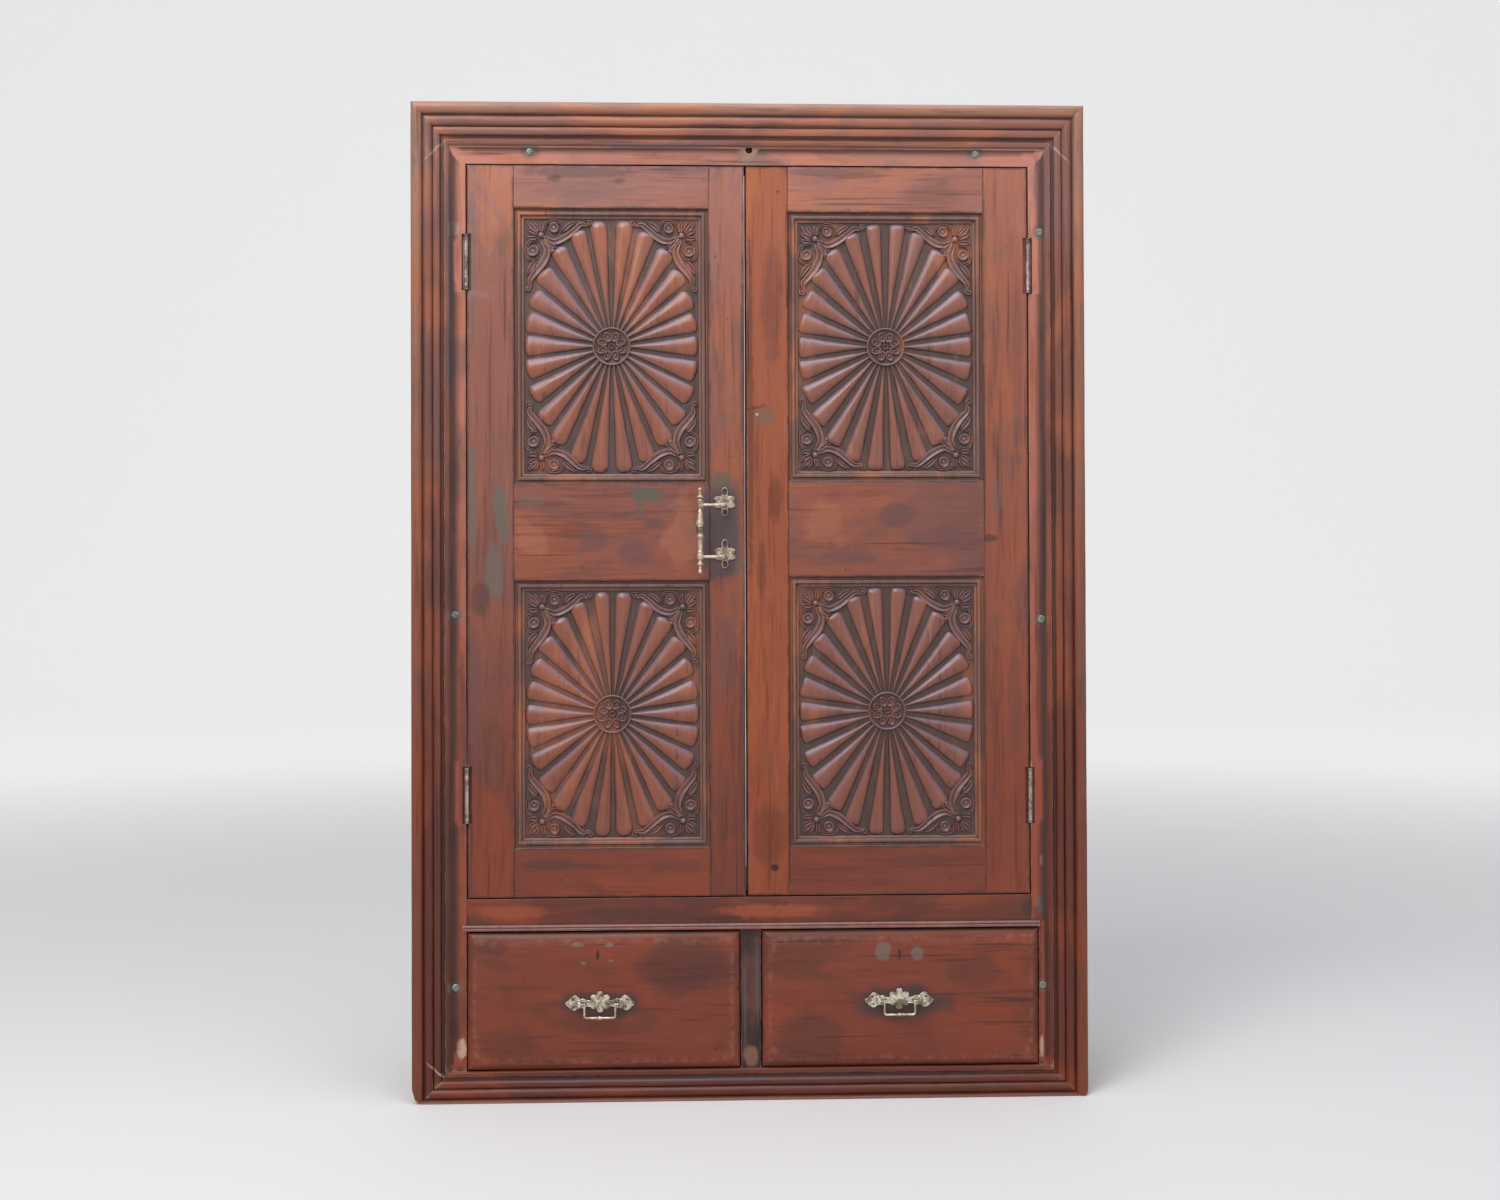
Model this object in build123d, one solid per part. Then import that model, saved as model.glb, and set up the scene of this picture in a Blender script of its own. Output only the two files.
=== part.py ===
from build123d import *
from math import atan2, cos, pi, radians, sin, sqrt, tan
import os

# Front of a wall cupboard: a moulded, mitred frame round two carved doors, with two drawers below
# and the open-backed niche behind the doors. Millimetres. X runs to the viewer's right, the front
# faces -Y, Z is up. The origin is on the floor, in the plane of the door faces, at mid width.

# Outer frame
frame_width = 1190.0
frame_height = 1756.0
member_depth = 45.0
left_face = 93.5
right_face = 96.5
head_face = 105.0
sill_face = 95.0
sill_trim = 14.5
sill_top = 51.0
worn_corner_left = 24.0
worn_corner_right = 9.0
stop_lip = 8.0
stop_gap = 1.0
head_hole_radius = 6.5
head_hole_sides = 10
head_hole_depth = 16.0
head_hole_rise = 27.0

# Moulding of the frame: height above the flat inner band, and share of the face from the outer edge
bead_crown = 21.5
bead_shoulder = 16.0
second_crown = 16.5
third_crown = 11.5
ridge_height = 6.0
groove_floor = 2.5

# Rail under the doors, and the bead planted along its lower edge
rail_top = 353.0
rail_bottom = 297.5
rail_bead_height = 9.5
rail_bead_depth = 7.0
rail_bead_foot = 3.5
rail_bead_groove = 2.0
rail_bead_step = 1.0
rail_bead_slope = 2.5
rail_bead_lap_left = 6.5
rail_bead_lap_right = 1.0

# Muntin between the drawers, and the wider drawer opening on the right
muntin_left = -19.5
muntin_right = 17.0
muntin_setback = 2.0
drawer_opening_extra = 13.0

# Doors
door_thickness = 28.0
door_gap = 2.6
meeting_gap = 3.0
meeting_line = -8.0
meeting_slant = 1.8
door_foot_gap = 2.0
door_head_gap = 2.5
hinge_stile_width = 82.0
lock_stile_width = 63.5
meeting_stile_width = 75.5
right_hinge_stile_width = 79.0
top_rail_height_left = 75.5
top_rail_height_right = 80.5
lock_rail_top_left = 1085.0
lock_rail_top_right = 1090.0
lock_rail_bottom_left = 913.0
lock_rail_bottom_right = 919.0
bottom_rail_top = 441.0
tongue = 8.0
panel_thickness = 11.0
ground_depth = 11.0

# Moulding round each panel
moulding_width = 17.5
moulding_foot = 2.5

# Its section from the stile or rail inwards: distance across, and depth behind the door's face
moulding_profile = [(0.0, 1.0), (1.5, 6.0), (5.0, 6.0), (7.0, 2.5), (11.0, 2.5), (13.0, 7.0), (14.5, 7.0)]

# Sunburst carving
petal_count = 26
petal_squeeze = 5.3
petal_margin = 1.0
petal_height = 7.0
petal_root = 33.0
petal_sink = 0.6
petal_tip_sides = 3
rosette_sides = 12
rosette_radius = 34.0
rosette_height = 5.5
rosette_rim = 6.0
rosette_slope = 3.0
flower_petals = 8
flower_reach = 24.0
flower_width = 13.0
leaf_height = 4.5
roundel_sides = 6
roundel_slope = 4.0

# How the rays differ between the doors: share of the spacing filled, half width at the root,
# and width of the sloping shoulder
left_rays = (0.86, 2.4, 4.4)
right_rays = (0.80, 1.1, 3.2)
spray_node_x = 31.0
spray_node_z = 33.0

# Leaves of one corner spray: share towards the corner across and along the panel, length and width
spray_leaves = [
    (1.0, 0.1, 27.0, 12.0),
    (1.0, 1.0, 38.0, 12.0),
    (0.1, 1.0, 29.0, 12.0),
    (0.1, -1.0, 74.0, 13.0),
    (-1.0, 0.12, 66.0, 13.0),
]

# Roundels of one corner spray: inset across, inset along, and radius
spray_roundels = [(14.0, 57.0, 12.5), (56.0, 14.5, 13.5)]

# Butt hinges
hinge_length = 97.0
hinge_end_knuckle = 16.5
knuckle_radius = 4.3
knuckle_sides = 10
pin_radius = 2.2
pin_play = 0.06
knuckle_gap = 0.25
hinge_axis_setback = 2.0
leaf_plate = 1.6
leaf_plate_width = 24.0
hinge_recess_half = 8.0
hinge_recess_depth = 4.5
hinge_recess_play = 1.5
knuckle_relief = 0.5
upper_hinge_drop_left = 172.0
upper_hinge_drop_right = 175.0
lower_hinge_rise_left = 180.5
lower_hinge_rise_right = 174.0

# Bar pull on the left door
pull_bar_x = -89.0
pull_bar_stand = 36.0
pull_bar_bottom = 924.0
pull_bar_top = 1075.0
pull_arm_low = 953.7
pull_arm_high = 1044.5
pull_neck = 3.4
pull_sides = 8
pull_eye_radius = 6.3
pull_eye_height = 11.0
pull_arm_radius = 3.0
pull_arm_sides = 6
pull_bend = 9.0
pull_plate_x = -45.0
pull_plate_low = 960.0
pull_plate_high = 1052.0
pull_plate_thickness = 2.5
pull_plate_lobe = 9.5
pull_plate_side_lobe = 8.0
pull_plate_end_lobe = 8.5
pull_plate_reach_x = 10.5
pull_plate_reach_z = 17.5
pull_loop_hole = 4.5
lobe_sides = 8

# Turned shape of the pull bar: radius, and distance up from its foot, up from the lower eye,
# and down from its top
pull_bar_foot = [(1.2, 0.0), (3.5, 3.0), (2.2, 7.0), (2.2, 11.0), (5.4, 14.0), (3.4, 20.0)]
pull_bar_grip = [(4.4, 1.5), (4.4, 28.0), (6.6, 32.0), (5.8, 48.0), (7.3, 54.0), (4.4, 72.0)]
pull_bar_cap = [(6.4, 18.0), (6.4, 15.0), (2.4, 10.0), (3.6, 3.5), (1.2, 0.0)]

# Drawers
drawer_gap = 1.5
drawer_head_gap = 3.0
drawer_foot_gap = 2.5
drawer_front_thickness = 22.0
drawer_face_raise = 8.0
drawer_bevel = 12.5
drawer_length = 290.0
drawer_side_thickness = 12.0
drawer_side_height = 205.0
drawer_side_play = 3.0
drawer_back_thickness = 12.0
drawer_bottom_thickness = 7.0
drawer_bottom_rise = 10.0
drawer_groove = 5.0
runner_gap = 0.3

# Drawer pulls
drawer_pull_left = -267.0
drawer_pull_right = 260.5
drawer_pull_height = 170.0
back_plate_width = 122.0
back_plate_height = 30.0
back_plate_thickness = 2.5
plate_flower_rise = 3.0
plate_flower_lobe = 7.0
plate_flower_reach = 12.0
plate_flower_lobes = 6
plate_lobe_sides = 6

# Ends of the back plate: distance in from the tip, and share of the half height, above and below
plate_upper_edge = [(0.0, 0.2), (16.0, 1.0), (30.0, 0.35)]
plate_lower_edge = [(32.0, 0.35), (24.0, 0.8), (8.0, 0.85)]
post_spacing = 73.0
post_radius = 4.6
post_sides = 8
post_length = 15.0
bail_stand = 10.5
bail_wire = 2.4
bail_width = 54.0
bail_drop = 23.5
bail_pin_radius = 1.6
bail_pin_play = 0.07
bail_pin_depth = 2.0
bail_end_gap = 0.3
bail_sides = 6
bail_pin_sides = 8
bail_bead_half = 6.0
bail_bead_swell = 0.9

# Drawer case behind the lower frame
case_depth = 300.0
case_board = 18.0
case_back_thickness = 9.0

# Screws that hold the frame to the wall
screw_head_radius = 7.0
screw_head_height = 2.4
screw_head_sides = 6
screw_head_taper = 2.4
head_screws = (-388.0, 404.0)
head_screw_rise = 21.0
left_screw_inset = 19.0
left_screw_heights = (853.0, 198.0)
right_screw_inset = 20.0
right_screw_heights = (843.0, 192.0)
top_screw_drop = 117.0

# How far one form of a casting or a turned piece runs into the next
weld = 1.0

half_width = frame_width / 2
opening_left = left_face - half_width
opening_right = half_width - right_face
opening_top = frame_height - head_face
drawer_opening_right = opening_right + drawer_opening_extra
door_bottom = rail_top + door_foot_gap
door_top = opening_top - door_head_gap
upper_hinge_left = door_top - upper_hinge_drop_left
upper_hinge_right = door_top - upper_hinge_drop_right
lower_hinge_left = door_bottom + lower_hinge_rise_left
lower_hinge_right = door_bottom + lower_hinge_rise_right
left_axis_x = opening_left + door_gap / 2
right_axis_x = opening_right - door_gap / 2
axis_y = -hinge_axis_setback


def box(x0, x1, y0, y1, z0, z1):
    """Upright box between two corners."""
    solid = Box(x1 - x0, y1 - y0, z1 - z0, align=(Align.MIN, Align.MIN, Align.MIN))
    return Pos(x0, y0, z0) * solid


def slab(face, y_front, y_back):
    """Extrude a face drawn in X and Z from the front depth to the back depth."""
    return extrude(Plane.XZ.offset(-y_back) * face, amount=y_back - y_front)


def outline(points):
    """Face inside a closed run of straight lines."""
    return make_face(Polyline(*points, close=True))


def rod(start, end, radius):
    """Round bar between two points."""
    run = Vector(*end) - Vector(*start)
    plane = Plane(origin=start, z_dir=run)
    return extrude(plane * Circle(radius), amount=run.length)


def flat(corners):
    """Flat face with the given corners."""
    return Face(Wire.make_polygon(corners, close=True))


def faceted(rings):
    """Solid with flat faces between matching rings of corners; a last ring of one corner is a tip."""
    faces = [flat(rings[0])]
    for low, high in zip(rings, rings[1:]):
        for index, corner in enumerate(low):
            after = (index + 1) % len(low)
            if len(high) == 1:
                faces.append(flat([corner, low[after], high[0]]))
            else:
                faces.append(flat([corner, low[after], high[after], high[index]]))
    if len(rings[-1]) > 1:
        faces.append(flat(rings[-1]))
    return Solid(Shell(faces))


def ring_of(radius, sides, turn=0.0):
    """Corners of a regular outline round the origin."""
    corners = []
    for index in range(sides):
        way = turn + 2 * pi * index / sides
        corners.append((radius * cos(way), radius * sin(way)))
    return corners


def relief(x, z, way, low, high, depth):
    """Carved form at a place on a panel: an outline sunk in the ground and one at the given depth."""
    rings = []
    for points, y in ((low, ground_depth + petal_sink), (high, depth)):
        ring = []
        for along, across in points:
            px = x + along * cos(way) - across * sin(way)
            pz = z + along * sin(way) + across * cos(way)
            ring.append((px, y, pz))
        rings.append(ring)
    return faceted(rings)


def moulding_section(face_width):
    """Section of a frame member: across the face from its outer edge, and out towards the viewer."""
    s = face_width / sill_face
    front = Polyline((0, -member_depth), (0, bead_shoulder))
    front += ThreePointArc((0, bead_shoulder), (9.5 * s, bead_crown), (19 * s, bead_shoulder))
    front += Polyline((19 * s, bead_shoulder), (20.5 * s, bead_shoulder - 4), (22 * s, second_crown - 3))
    front += ThreePointArc((22 * s, second_crown - 3), (29 * s, second_crown), (36 * s, second_crown - 3.5))
    front += Polyline((36 * s, second_crown - 3.5), (37.5 * s, third_crown - 3.5), (39 * s, third_crown - 1))
    front += ThreePointArc((39 * s, third_crown - 1), (44.5 * s, third_crown), (50 * s, third_crown - 2))
    front += Polyline(
        (50 * s, third_crown - 2),
        (51.5 * s, groove_floor),
        (56 * s, groove_floor),
        (57.5 * s, ridge_height),
        (64 * s, ridge_height - 1.5),
        (66.5 * s, 1.5),
        (69 * s, 0),
        (face_width, 0),
        (face_width, -member_depth),
        (0, -member_depth),
    )
    return make_face(front)


def upright(face_width, outer_x, turn):
    """Moulded upright over the full height; turn is 1 on the left and -1 on the right."""
    plane = Plane(origin=(outer_x, 0, 0), x_dir=(turn, 0, 0), z_dir=(0, 0, -turn))
    return extrude(plane * moulding_section(face_width), amount=-turn * frame_height)


def crosspiece(face_width, outer_z, turn):
    """Moulded crosspiece over the full width; turn is 1 for the sill and -1 for the head."""
    plane = Plane(origin=(-half_width, 0, outer_z), x_dir=(0, 0, turn), z_dir=(turn, 0, 0))
    return extrude(plane * moulding_section(face_width), amount=turn * frame_width)


def keep(solid, points):
    """Part of a member that lies inside an outline seen from the front."""
    return solid & slab(outline(points), -2 * bead_crown, 2 * member_depth)


def mitre_foot(face_width):
    """How far in from the outer edge the foot mitre meets the floor."""
    return sill_trim * face_width / sill_face


def hinge_recess(axis_x, z_mid):
    """Notch in the front corners of jamb and stile that the knuckles lie in."""
    half = hinge_length / 2 + hinge_recess_play
    x0 = axis_x - hinge_recess_half
    x1 = axis_x + hinge_recess_half
    return box(x0, x1, -weld, hinge_recess_depth, z_mid - half, z_mid + half)


def leaf_mortice(edge_x, into, z_mid):
    """Shallow bed for one hinge leaf in the edge of a jamb or stile."""
    x0, x1 = sorted((edge_x, edge_x + into * leaf_plate))
    z0 = z_mid - hinge_length / 2
    return box(x0, x1, -weld, axis_y + leaf_plate_width, z0, z0 + hinge_length)


def jamb(side):
    """Upright member with mitred ends, hinge beds and, on the right, the wider drawer opening."""
    left = side == "left"
    face = left_face if left else right_face
    turn = 1 if left else -1
    edge = opening_left if left else opening_right
    solid = upright(face, -turn * half_width, turn)
    foot = mitre_foot(face)
    worn = worn_corner_left if left else worn_corner_right
    region = [
        (-turn * half_width, frame_height),
        (edge, opening_top),
        (edge, sill_face - sill_trim),
        (turn * (foot - half_width), 0),
    ]
    if worn < foot:
        region.append((turn * (worn - half_width), 0))
    region.append((turn * (worn / 4 - half_width), worn / 3))
    region.append((-turn * half_width, worn))
    solid = keep(solid, region)
    axis = left_axis_x if left else right_axis_x
    places = (upper_hinge_left, lower_hinge_left) if left else (upper_hinge_right, lower_hinge_right)
    for z_mid in places:
        solid -= hinge_recess(axis, z_mid)
        solid -= leaf_mortice(edge, -turn, z_mid)
    if not left:
        solid -= box(
            edge - weld, drawer_opening_right, -2 * bead_crown, 2 * member_depth, sill_top, rail_bottom
        )
    return solid


def head():
    """Top member, with the lip that the doors close against and an old round hole."""
    region = [
        (-half_width, frame_height),
        (half_width, frame_height),
        (opening_right, opening_top),
        (opening_left, opening_top),
    ]
    solid = keep(crosspiece(head_face, frame_height, -1), region)
    lip_front = door_thickness + stop_gap
    solid += box(opening_left, opening_right, lip_front, member_depth, opening_top - stop_lip, opening_top)
    hole = Pos(0, opening_top + head_hole_rise) * RegularPolygon(head_hole_radius, head_hole_sides)
    return solid - slab(hole, -weld, head_hole_depth)


def sill():
    """Bottom member: trimmed at the floor, and cut down between the jambs for the drawers."""
    region = [
        (mitre_foot(left_face) - half_width, 0),
        (opening_left, sill_face - sill_trim),
        (opening_right, sill_face - sill_trim),
        (half_width - mitre_foot(right_face), 0),
    ]
    solid = keep(crosspiece(sill_face, -sill_trim, 1), region)
    cut = box(opening_left, drawer_opening_right, -2 * bead_crown, 2 * member_depth, sill_top, frame_height)
    return solid - cut


def mid_rail():
    """Rail between doors and drawers, with the doors' lower stop lip at the back."""
    solid = box(opening_left, opening_right, 0, member_depth, rail_bottom, rail_top)
    lip_front = door_thickness + stop_gap
    return solid + box(opening_left, opening_right, lip_front, member_depth, rail_top, rail_top + stop_lip)


def rail_bead():
    """Small double bead planted over the foot of the rail and lapping the jambs."""
    z0 = rail_bottom
    z1 = rail_bottom + rail_bead_height
    front = -rail_bead_depth
    section = outline([
        (0, z0),
        (front, z0),
        (front, z0 + rail_bead_foot),
        (front + rail_bead_groove, z0 + rail_bead_foot + rail_bead_step),
        (front + rail_bead_step, z1 - rail_bead_slope),
        (front + rail_bead_step + rail_bead_groove, z1),
        (0, z1),
    ])
    x0 = opening_left - rail_bead_lap_left
    x1 = drawer_opening_right + rail_bead_lap_right
    return extrude(Plane.YZ.offset(x0) * section, amount=x1 - x0)


def muntin():
    """Post between the drawers."""
    return box(muntin_left, muntin_right, muntin_setback, member_depth, sill_top, rail_bottom)


def door_sizes(side):
    """Edges of one door: outer edge, meeting edge, stile widths and rail levels."""
    if side == "left":
        return {
            "outer": opening_left + door_gap,
            "inner": meeting_line - meeting_gap / 2,
            "outer_stile": hinge_stile_width,
            "inner_stile": lock_stile_width,
            "top": door_top - top_rail_height_left,
            "lock_top": lock_rail_top_left,
            "lock_bottom": lock_rail_bottom_left,
            "axis": left_axis_x,
            "turn": 1,
            "hinges": (upper_hinge_left, lower_hinge_left),
        }
    return {
        "outer": opening_right - door_gap,
        "inner": meeting_line + meeting_gap / 2,
        "outer_stile": right_hinge_stile_width,
        "inner_stile": meeting_stile_width,
        "top": door_top - top_rail_height_right,
        "lock_top": lock_rail_top_right,
        "lock_bottom": lock_rail_bottom_right,
        "axis": right_axis_x,
        "turn": -1,
        "hinges": (upper_hinge_right, lower_hinge_right),
    }


def stile(edge, width, turn, slant):
    """Upright of a door, grooved on its inner edge; slant moves the back of its outer edge over."""
    inner = edge + turn * width
    section = outline([(inner, 0), (edge, 0), (edge + slant, door_thickness), (inner, door_thickness)])
    solid = extrude(Pos(0, 0, door_bottom) * section, amount=door_top - door_bottom, dir=(0, 0, 1))
    g0, g1 = sorted((inner, inner - turn * tongue))
    return solid - box(g0, g1, ground_depth, ground_depth + panel_thickness, door_bottom, door_top)


def door_rail(x0, x1, z0, z1, groove_below, groove_above):
    """Rail with a tongue at each end and a panel groove where a panel meets it."""
    solid = box(x0, x1, 0, door_thickness, z0, z1)
    solid += box(x0 - tongue, x1 + tongue, ground_depth, ground_depth + panel_thickness, z0, z1)
    back = ground_depth + panel_thickness
    if groove_below:
        solid -= box(x0 - tongue, x1 + tongue, ground_depth, back, z0, z0 + tongue)
    if groove_above:
        solid -= box(x0 - tongue, x1 + tongue, ground_depth, back, z1 - tongue, z1)
    return solid


def panel_moulding(x0, x1, z0, z1):
    """Mitred ring planted on the panel's margin against stiles and rails."""
    w = moulding_width
    g = ground_depth
    points = [(0, -g)]
    points += [(across, -depth) for across, depth in moulding_profile]
    points += [(w, -g + moulding_foot), (w, -g)]
    section = outline(points)
    x_mid = (x0 + x1) / 2
    plane = Plane(origin=(x_mid, 0, z0), x_dir=(0, 0, 1), z_dir=(1, 0, 0))
    corners = [(x_mid, 0, z0), (x1, 0, z0), (x1, 0, z1), (x0, 0, z1), (x0, 0, z0)]
    path = Polyline(*corners, close=True)
    return sweep(plane * section, path=path, transition=Transition.RIGHT)


def petal_angle(index):
    """Direction of a petal from the upright: closer together near it than near the level line."""
    turn = (index + 0.5) * 2 * pi / petal_count
    return turn - radians(petal_squeeze) * sin(2 * turn)


def petal_reach(angle, half_x, half_z):
    """Length of a petal whose tip lies on the ellipse that fits the field."""
    return 1 / sqrt((sin(angle) / half_x) ** 2 + (cos(angle) / half_z) ** 2)


def petal_outline(reach, tip, root_half, root, inset):
    """Corners of a wedge with a faceted round end, drawn along X, its sides moved in by the inset."""
    centre = reach - tip
    slope = (tip - root_half) / (centre - root)
    start_half = max(root_half - inset, 0.5)
    start = centre - (tip - inset - start_half) / slope
    start = max(start, root)
    half = tip - inset
    points = [(start, -start_half), (start, start_half)]
    for step in range(petal_tip_sides + 1):
        way = pi / 2 - step * pi / petal_tip_sides
        points.append((centre + half * cos(way), half * sin(way)))
    return points


def petal(angle, reach, tip, root_half, shoulder):
    """One carved ray: sloping sides up to a flat crown, round at its outer end."""
    low = petal_outline(reach, tip, root_half, petal_root, 0)
    high = petal_outline(reach, tip, root_half, petal_root, shoulder)
    return relief(0, 0, pi / 2 - angle, low, high, ground_depth - petal_height)


def sunburst(half_x, half_z, share, root_half, shoulder):
    """All rays of one panel round the origin."""
    rays = []
    for index in range(petal_count):
        here = petal_angle(index)
        gap_before = here - petal_angle(index - 1)
        gap_after = petal_angle(index + 1) - here
        spread = min(gap_before, gap_after) / 2
        reach = petal_reach(here, half_x - petal_margin, half_z - petal_margin)
        tip = share * reach * tan(spread) / (1 + share * tan(spread))
        rays.append(petal(here, reach, tip, root_half, shoulder))
    return rays


def boss(x, z, radius, crown, sides, depth):
    """Low boss with straight sloping sides, from its foot in the ground to the given depth."""
    return relief(x, z, 0, ring_of(radius, sides), ring_of(crown, sides), depth)


def rosette():
    """Raised ring at the middle of the sunburst, with a flower of ridged petals inside."""
    top = ground_depth - rosette_height
    inner = rosette_radius - rosette_rim
    ring = boss(0, 0, rosette_radius, rosette_radius, rosette_sides, top)
    ring -= boss(0, 0, inner - rosette_slope, inner, rosette_sides, top)
    pieces = [ring]
    for index in range(flower_petals):
        way = pi / 2 + 2 * pi * index / flower_petals
        pieces.append(leaf(0, 0, way, flower_reach, flower_width))
    return pieces


def leaf(x, z, way, length, width):
    """One ridged leaf: a kite on the ground that rises to a point over its middle."""
    half = length / 2
    base = [(0, 0), (half, -width / 2), (length, 0), (half, width / 2)]
    return relief(x, z, way, base, [(half, 0)], ground_depth - leaf_height)


def corner_spray(corner_x, corner_z, to_x, to_z):
    """Leaves fanning from a node near one corner of the field, and the two roundels beside it."""
    node_x = corner_x - to_x * spray_node_x
    node_z = corner_z - to_z * spray_node_z
    pieces = []
    for across, along, length, width in spray_leaves:
        way = atan2(along * to_z, across * to_x)
        pieces.append(leaf(node_x, node_z, way, length, width))
    for inset_x, inset_z, radius in spray_roundels:
        x = corner_x - to_x * inset_x
        z = corner_z - to_z * inset_z
        depth = ground_depth - leaf_height
        pieces.append(boss(x, z, radius, radius - roundel_slope, roundel_sides, depth))
    return pieces


def carved_panel(x0, x1, z0, z1, share, root_half, shoulder):
    """Panel board with sunburst, rosette and corner sprays, tongued into stiles and rails."""
    back = ground_depth + panel_thickness
    board = box(x0 - tongue, x1 + tongue, ground_depth, back, z0 - tongue, z1 + tongue)
    middle = Pos((x0 + x1) / 2, 0, (z0 + z1) / 2)
    half_x = (x1 - x0) / 2 - moulding_width
    half_z = (z1 - z0) / 2 - moulding_width
    raised = sunburst(half_x, half_z, share, root_half, shoulder)
    raised += rosette()
    for to_x in (-1, 1):
        for to_z in (-1, 1):
            raised += corner_spray(to_x * half_x, to_z * half_z, to_x, to_z)
    board = Pos((x0 + x1) / -2, 0, (z0 + z1) / -2) * board
    return middle * board.fuse(*raised)


def door(side):
    """Wooden pieces of one door by node name."""
    d = door_sizes(side)
    turn = d["turn"]
    inner_x = d["inner"] - turn * d["inner_stile"]
    outer_x = d["outer"] + turn * d["outer_stile"]
    x0, x1 = sorted((inner_x, outer_x))
    hinge_stile = stile(d["outer"], d["outer_stile"], turn, 0)
    for z_mid in d["hinges"]:
        hinge_stile -= hinge_recess(d["axis"], z_mid)
        hinge_stile -= leaf_mortice(d["outer"], turn, z_mid)
    meeting = stile(d["inner"], d["inner_stile"], -turn, -meeting_slant)
    meeting_name = "lock_stile" if side == "left" else "meeting_stile"
    pieces = {
        "hinge_stile": hinge_stile,
        meeting_name: meeting,
        "top_rail": door_rail(x0, x1, d["top"], door_top, True, False),
        "lock_rail": door_rail(x0, x1, d["lock_bottom"], d["lock_top"], True, True),
        "bottom_rail": door_rail(x0, x1, door_bottom, bottom_rail_top, False, True),
    }
    rays = left_rays if side == "left" else right_rays
    levels = {
        "upper": (d["lock_top"], d["top"]),
        "lower": (bottom_rail_top, d["lock_bottom"]),
    }
    for level, (z0, z1) in levels.items():
        pieces[level + "_panel"] = carved_panel(x0, x1, z0, z1, *rays)
        pieces[level + "_moulding"] = panel_moulding(x0, x1, z0, z1)
    return {side + "_" + name: solid for name, solid in pieces.items()}


def hinge(axis_x, z_mid, turn):
    """Frame leaf with end knuckles and pin, and door leaf with the long middle knuckle."""
    z0 = z_mid - hinge_length / 2
    z1 = z_mid + hinge_length / 2
    low = z0 + hinge_end_knuckle
    high = z1 - hinge_end_knuckle
    edge = door_gap / 2

    def plate(into, bottom, top):
        near = axis_x + into * edge
        x0, x1 = sorted((near, near + into * leaf_plate))
        return box(x0, x1, axis_y + weld, axis_y + leaf_plate_width, bottom, top)

    def knuckle(bottom, top):
        ring = Plane(origin=(axis_x, axis_y, bottom)) * RegularPolygon(knuckle_radius, knuckle_sides)
        return extrude(ring, amount=top - bottom)

    frame_leaf = plate(-turn, z0, z1)
    cut = knuckle_radius + knuckle_relief
    frame_leaf -= box(axis_x - cut, axis_x + cut, axis_y - cut, axis_y + cut, low, high)
    frame_leaf += knuckle(z0, low)
    frame_leaf += knuckle(high, z1)
    frame_leaf += rod((axis_x, axis_y, low - weld), (axis_x, axis_y, high + weld), pin_radius)
    door_leaf = plate(turn, z0, z1)
    for end_low, end_high in ((z0 - knuckle_gap, low + knuckle_gap), (high - knuckle_gap, z1 + knuckle_gap)):
        door_leaf -= box(axis_x - cut, axis_x + cut, axis_y - cut, axis_y + cut, end_low, end_high)
    door_leaf += knuckle(low + knuckle_gap, high - knuckle_gap)
    bore = rod((axis_x, axis_y, z0), (axis_x, axis_y, z1), pin_radius + pin_play)
    return frame_leaf, door_leaf - bore


def hinges():
    """All four hinges by node name."""
    pieces = {}
    places = {
        "left_upper": (left_axis_x, upper_hinge_left, 1),
        "left_lower": (left_axis_x, lower_hinge_left, 1),
        "right_upper": (right_axis_x, upper_hinge_right, -1),
        "right_lower": (right_axis_x, lower_hinge_right, -1),
    }
    for name, place in places.items():
        frame_leaf, door_leaf = hinge(*place)
        pieces[name + "_hinge_frame_leaf"] = frame_leaf
        pieces[name + "_hinge_door_leaf"] = door_leaf
    return pieces


def turned(profile, sides):
    """Turned piece about Z with flat sides: stacked tapers between the radii of its profile."""
    rings = []
    for radius, z in profile:
        rings.append([(x, y, z) for x, y in ring_of(radius, sides)])
    return faceted(rings)


def pull_plate(z_mid):
    """Four-lobed plate with a loop hole in its upper and lower lobes."""
    lobes = RegularPolygon(pull_plate_lobe, lobe_sides)
    for dx in (-pull_plate_reach_x, pull_plate_reach_x):
        lobes += Pos(dx, 0) * RegularPolygon(pull_plate_side_lobe, lobe_sides)
    for dz in (-pull_plate_reach_z, pull_plate_reach_z):
        lobes += Pos(0, dz) * RegularPolygon(pull_plate_end_lobe, lobe_sides)
    for dz in (-pull_plate_reach_z, pull_plate_reach_z):
        lobes -= Pos(0, dz) * RegularPolygon(pull_loop_hole, roundel_sides)
    return slab(Pos(pull_plate_x, z_mid) * lobes, -pull_plate_thickness, 0)


def pull_arm(plate_z, arm_z):
    """Plate, bent arm and the eye that holds the bar, cast as one."""
    stand = -pull_bar_stand
    start = -pull_plate_thickness / 2
    path = Polyline(
        (pull_plate_x, start, arm_z),
        (pull_plate_x, stand + pull_bend, arm_z),
        (pull_plate_x - pull_bend, stand, arm_z),
        (pull_bar_x + pull_eye_radius - weld, stand, arm_z),
    )
    section = RegularPolygon(pull_arm_radius, pull_arm_sides)
    section = Plane(origin=(pull_plate_x, start, arm_z), z_dir=(0, -1, 0)) * section
    arm = sweep(section, path=path, transition=Transition.RIGHT)
    ring = RegularPolygon(pull_eye_radius, pull_sides) - RegularPolygon(pull_neck, pull_sides)
    bored = Plane(origin=(pull_bar_x, stand, arm_z - pull_eye_height / 2)) * ring
    return pull_plate(plate_z) + arm + extrude(bored, amount=pull_eye_height)


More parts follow.
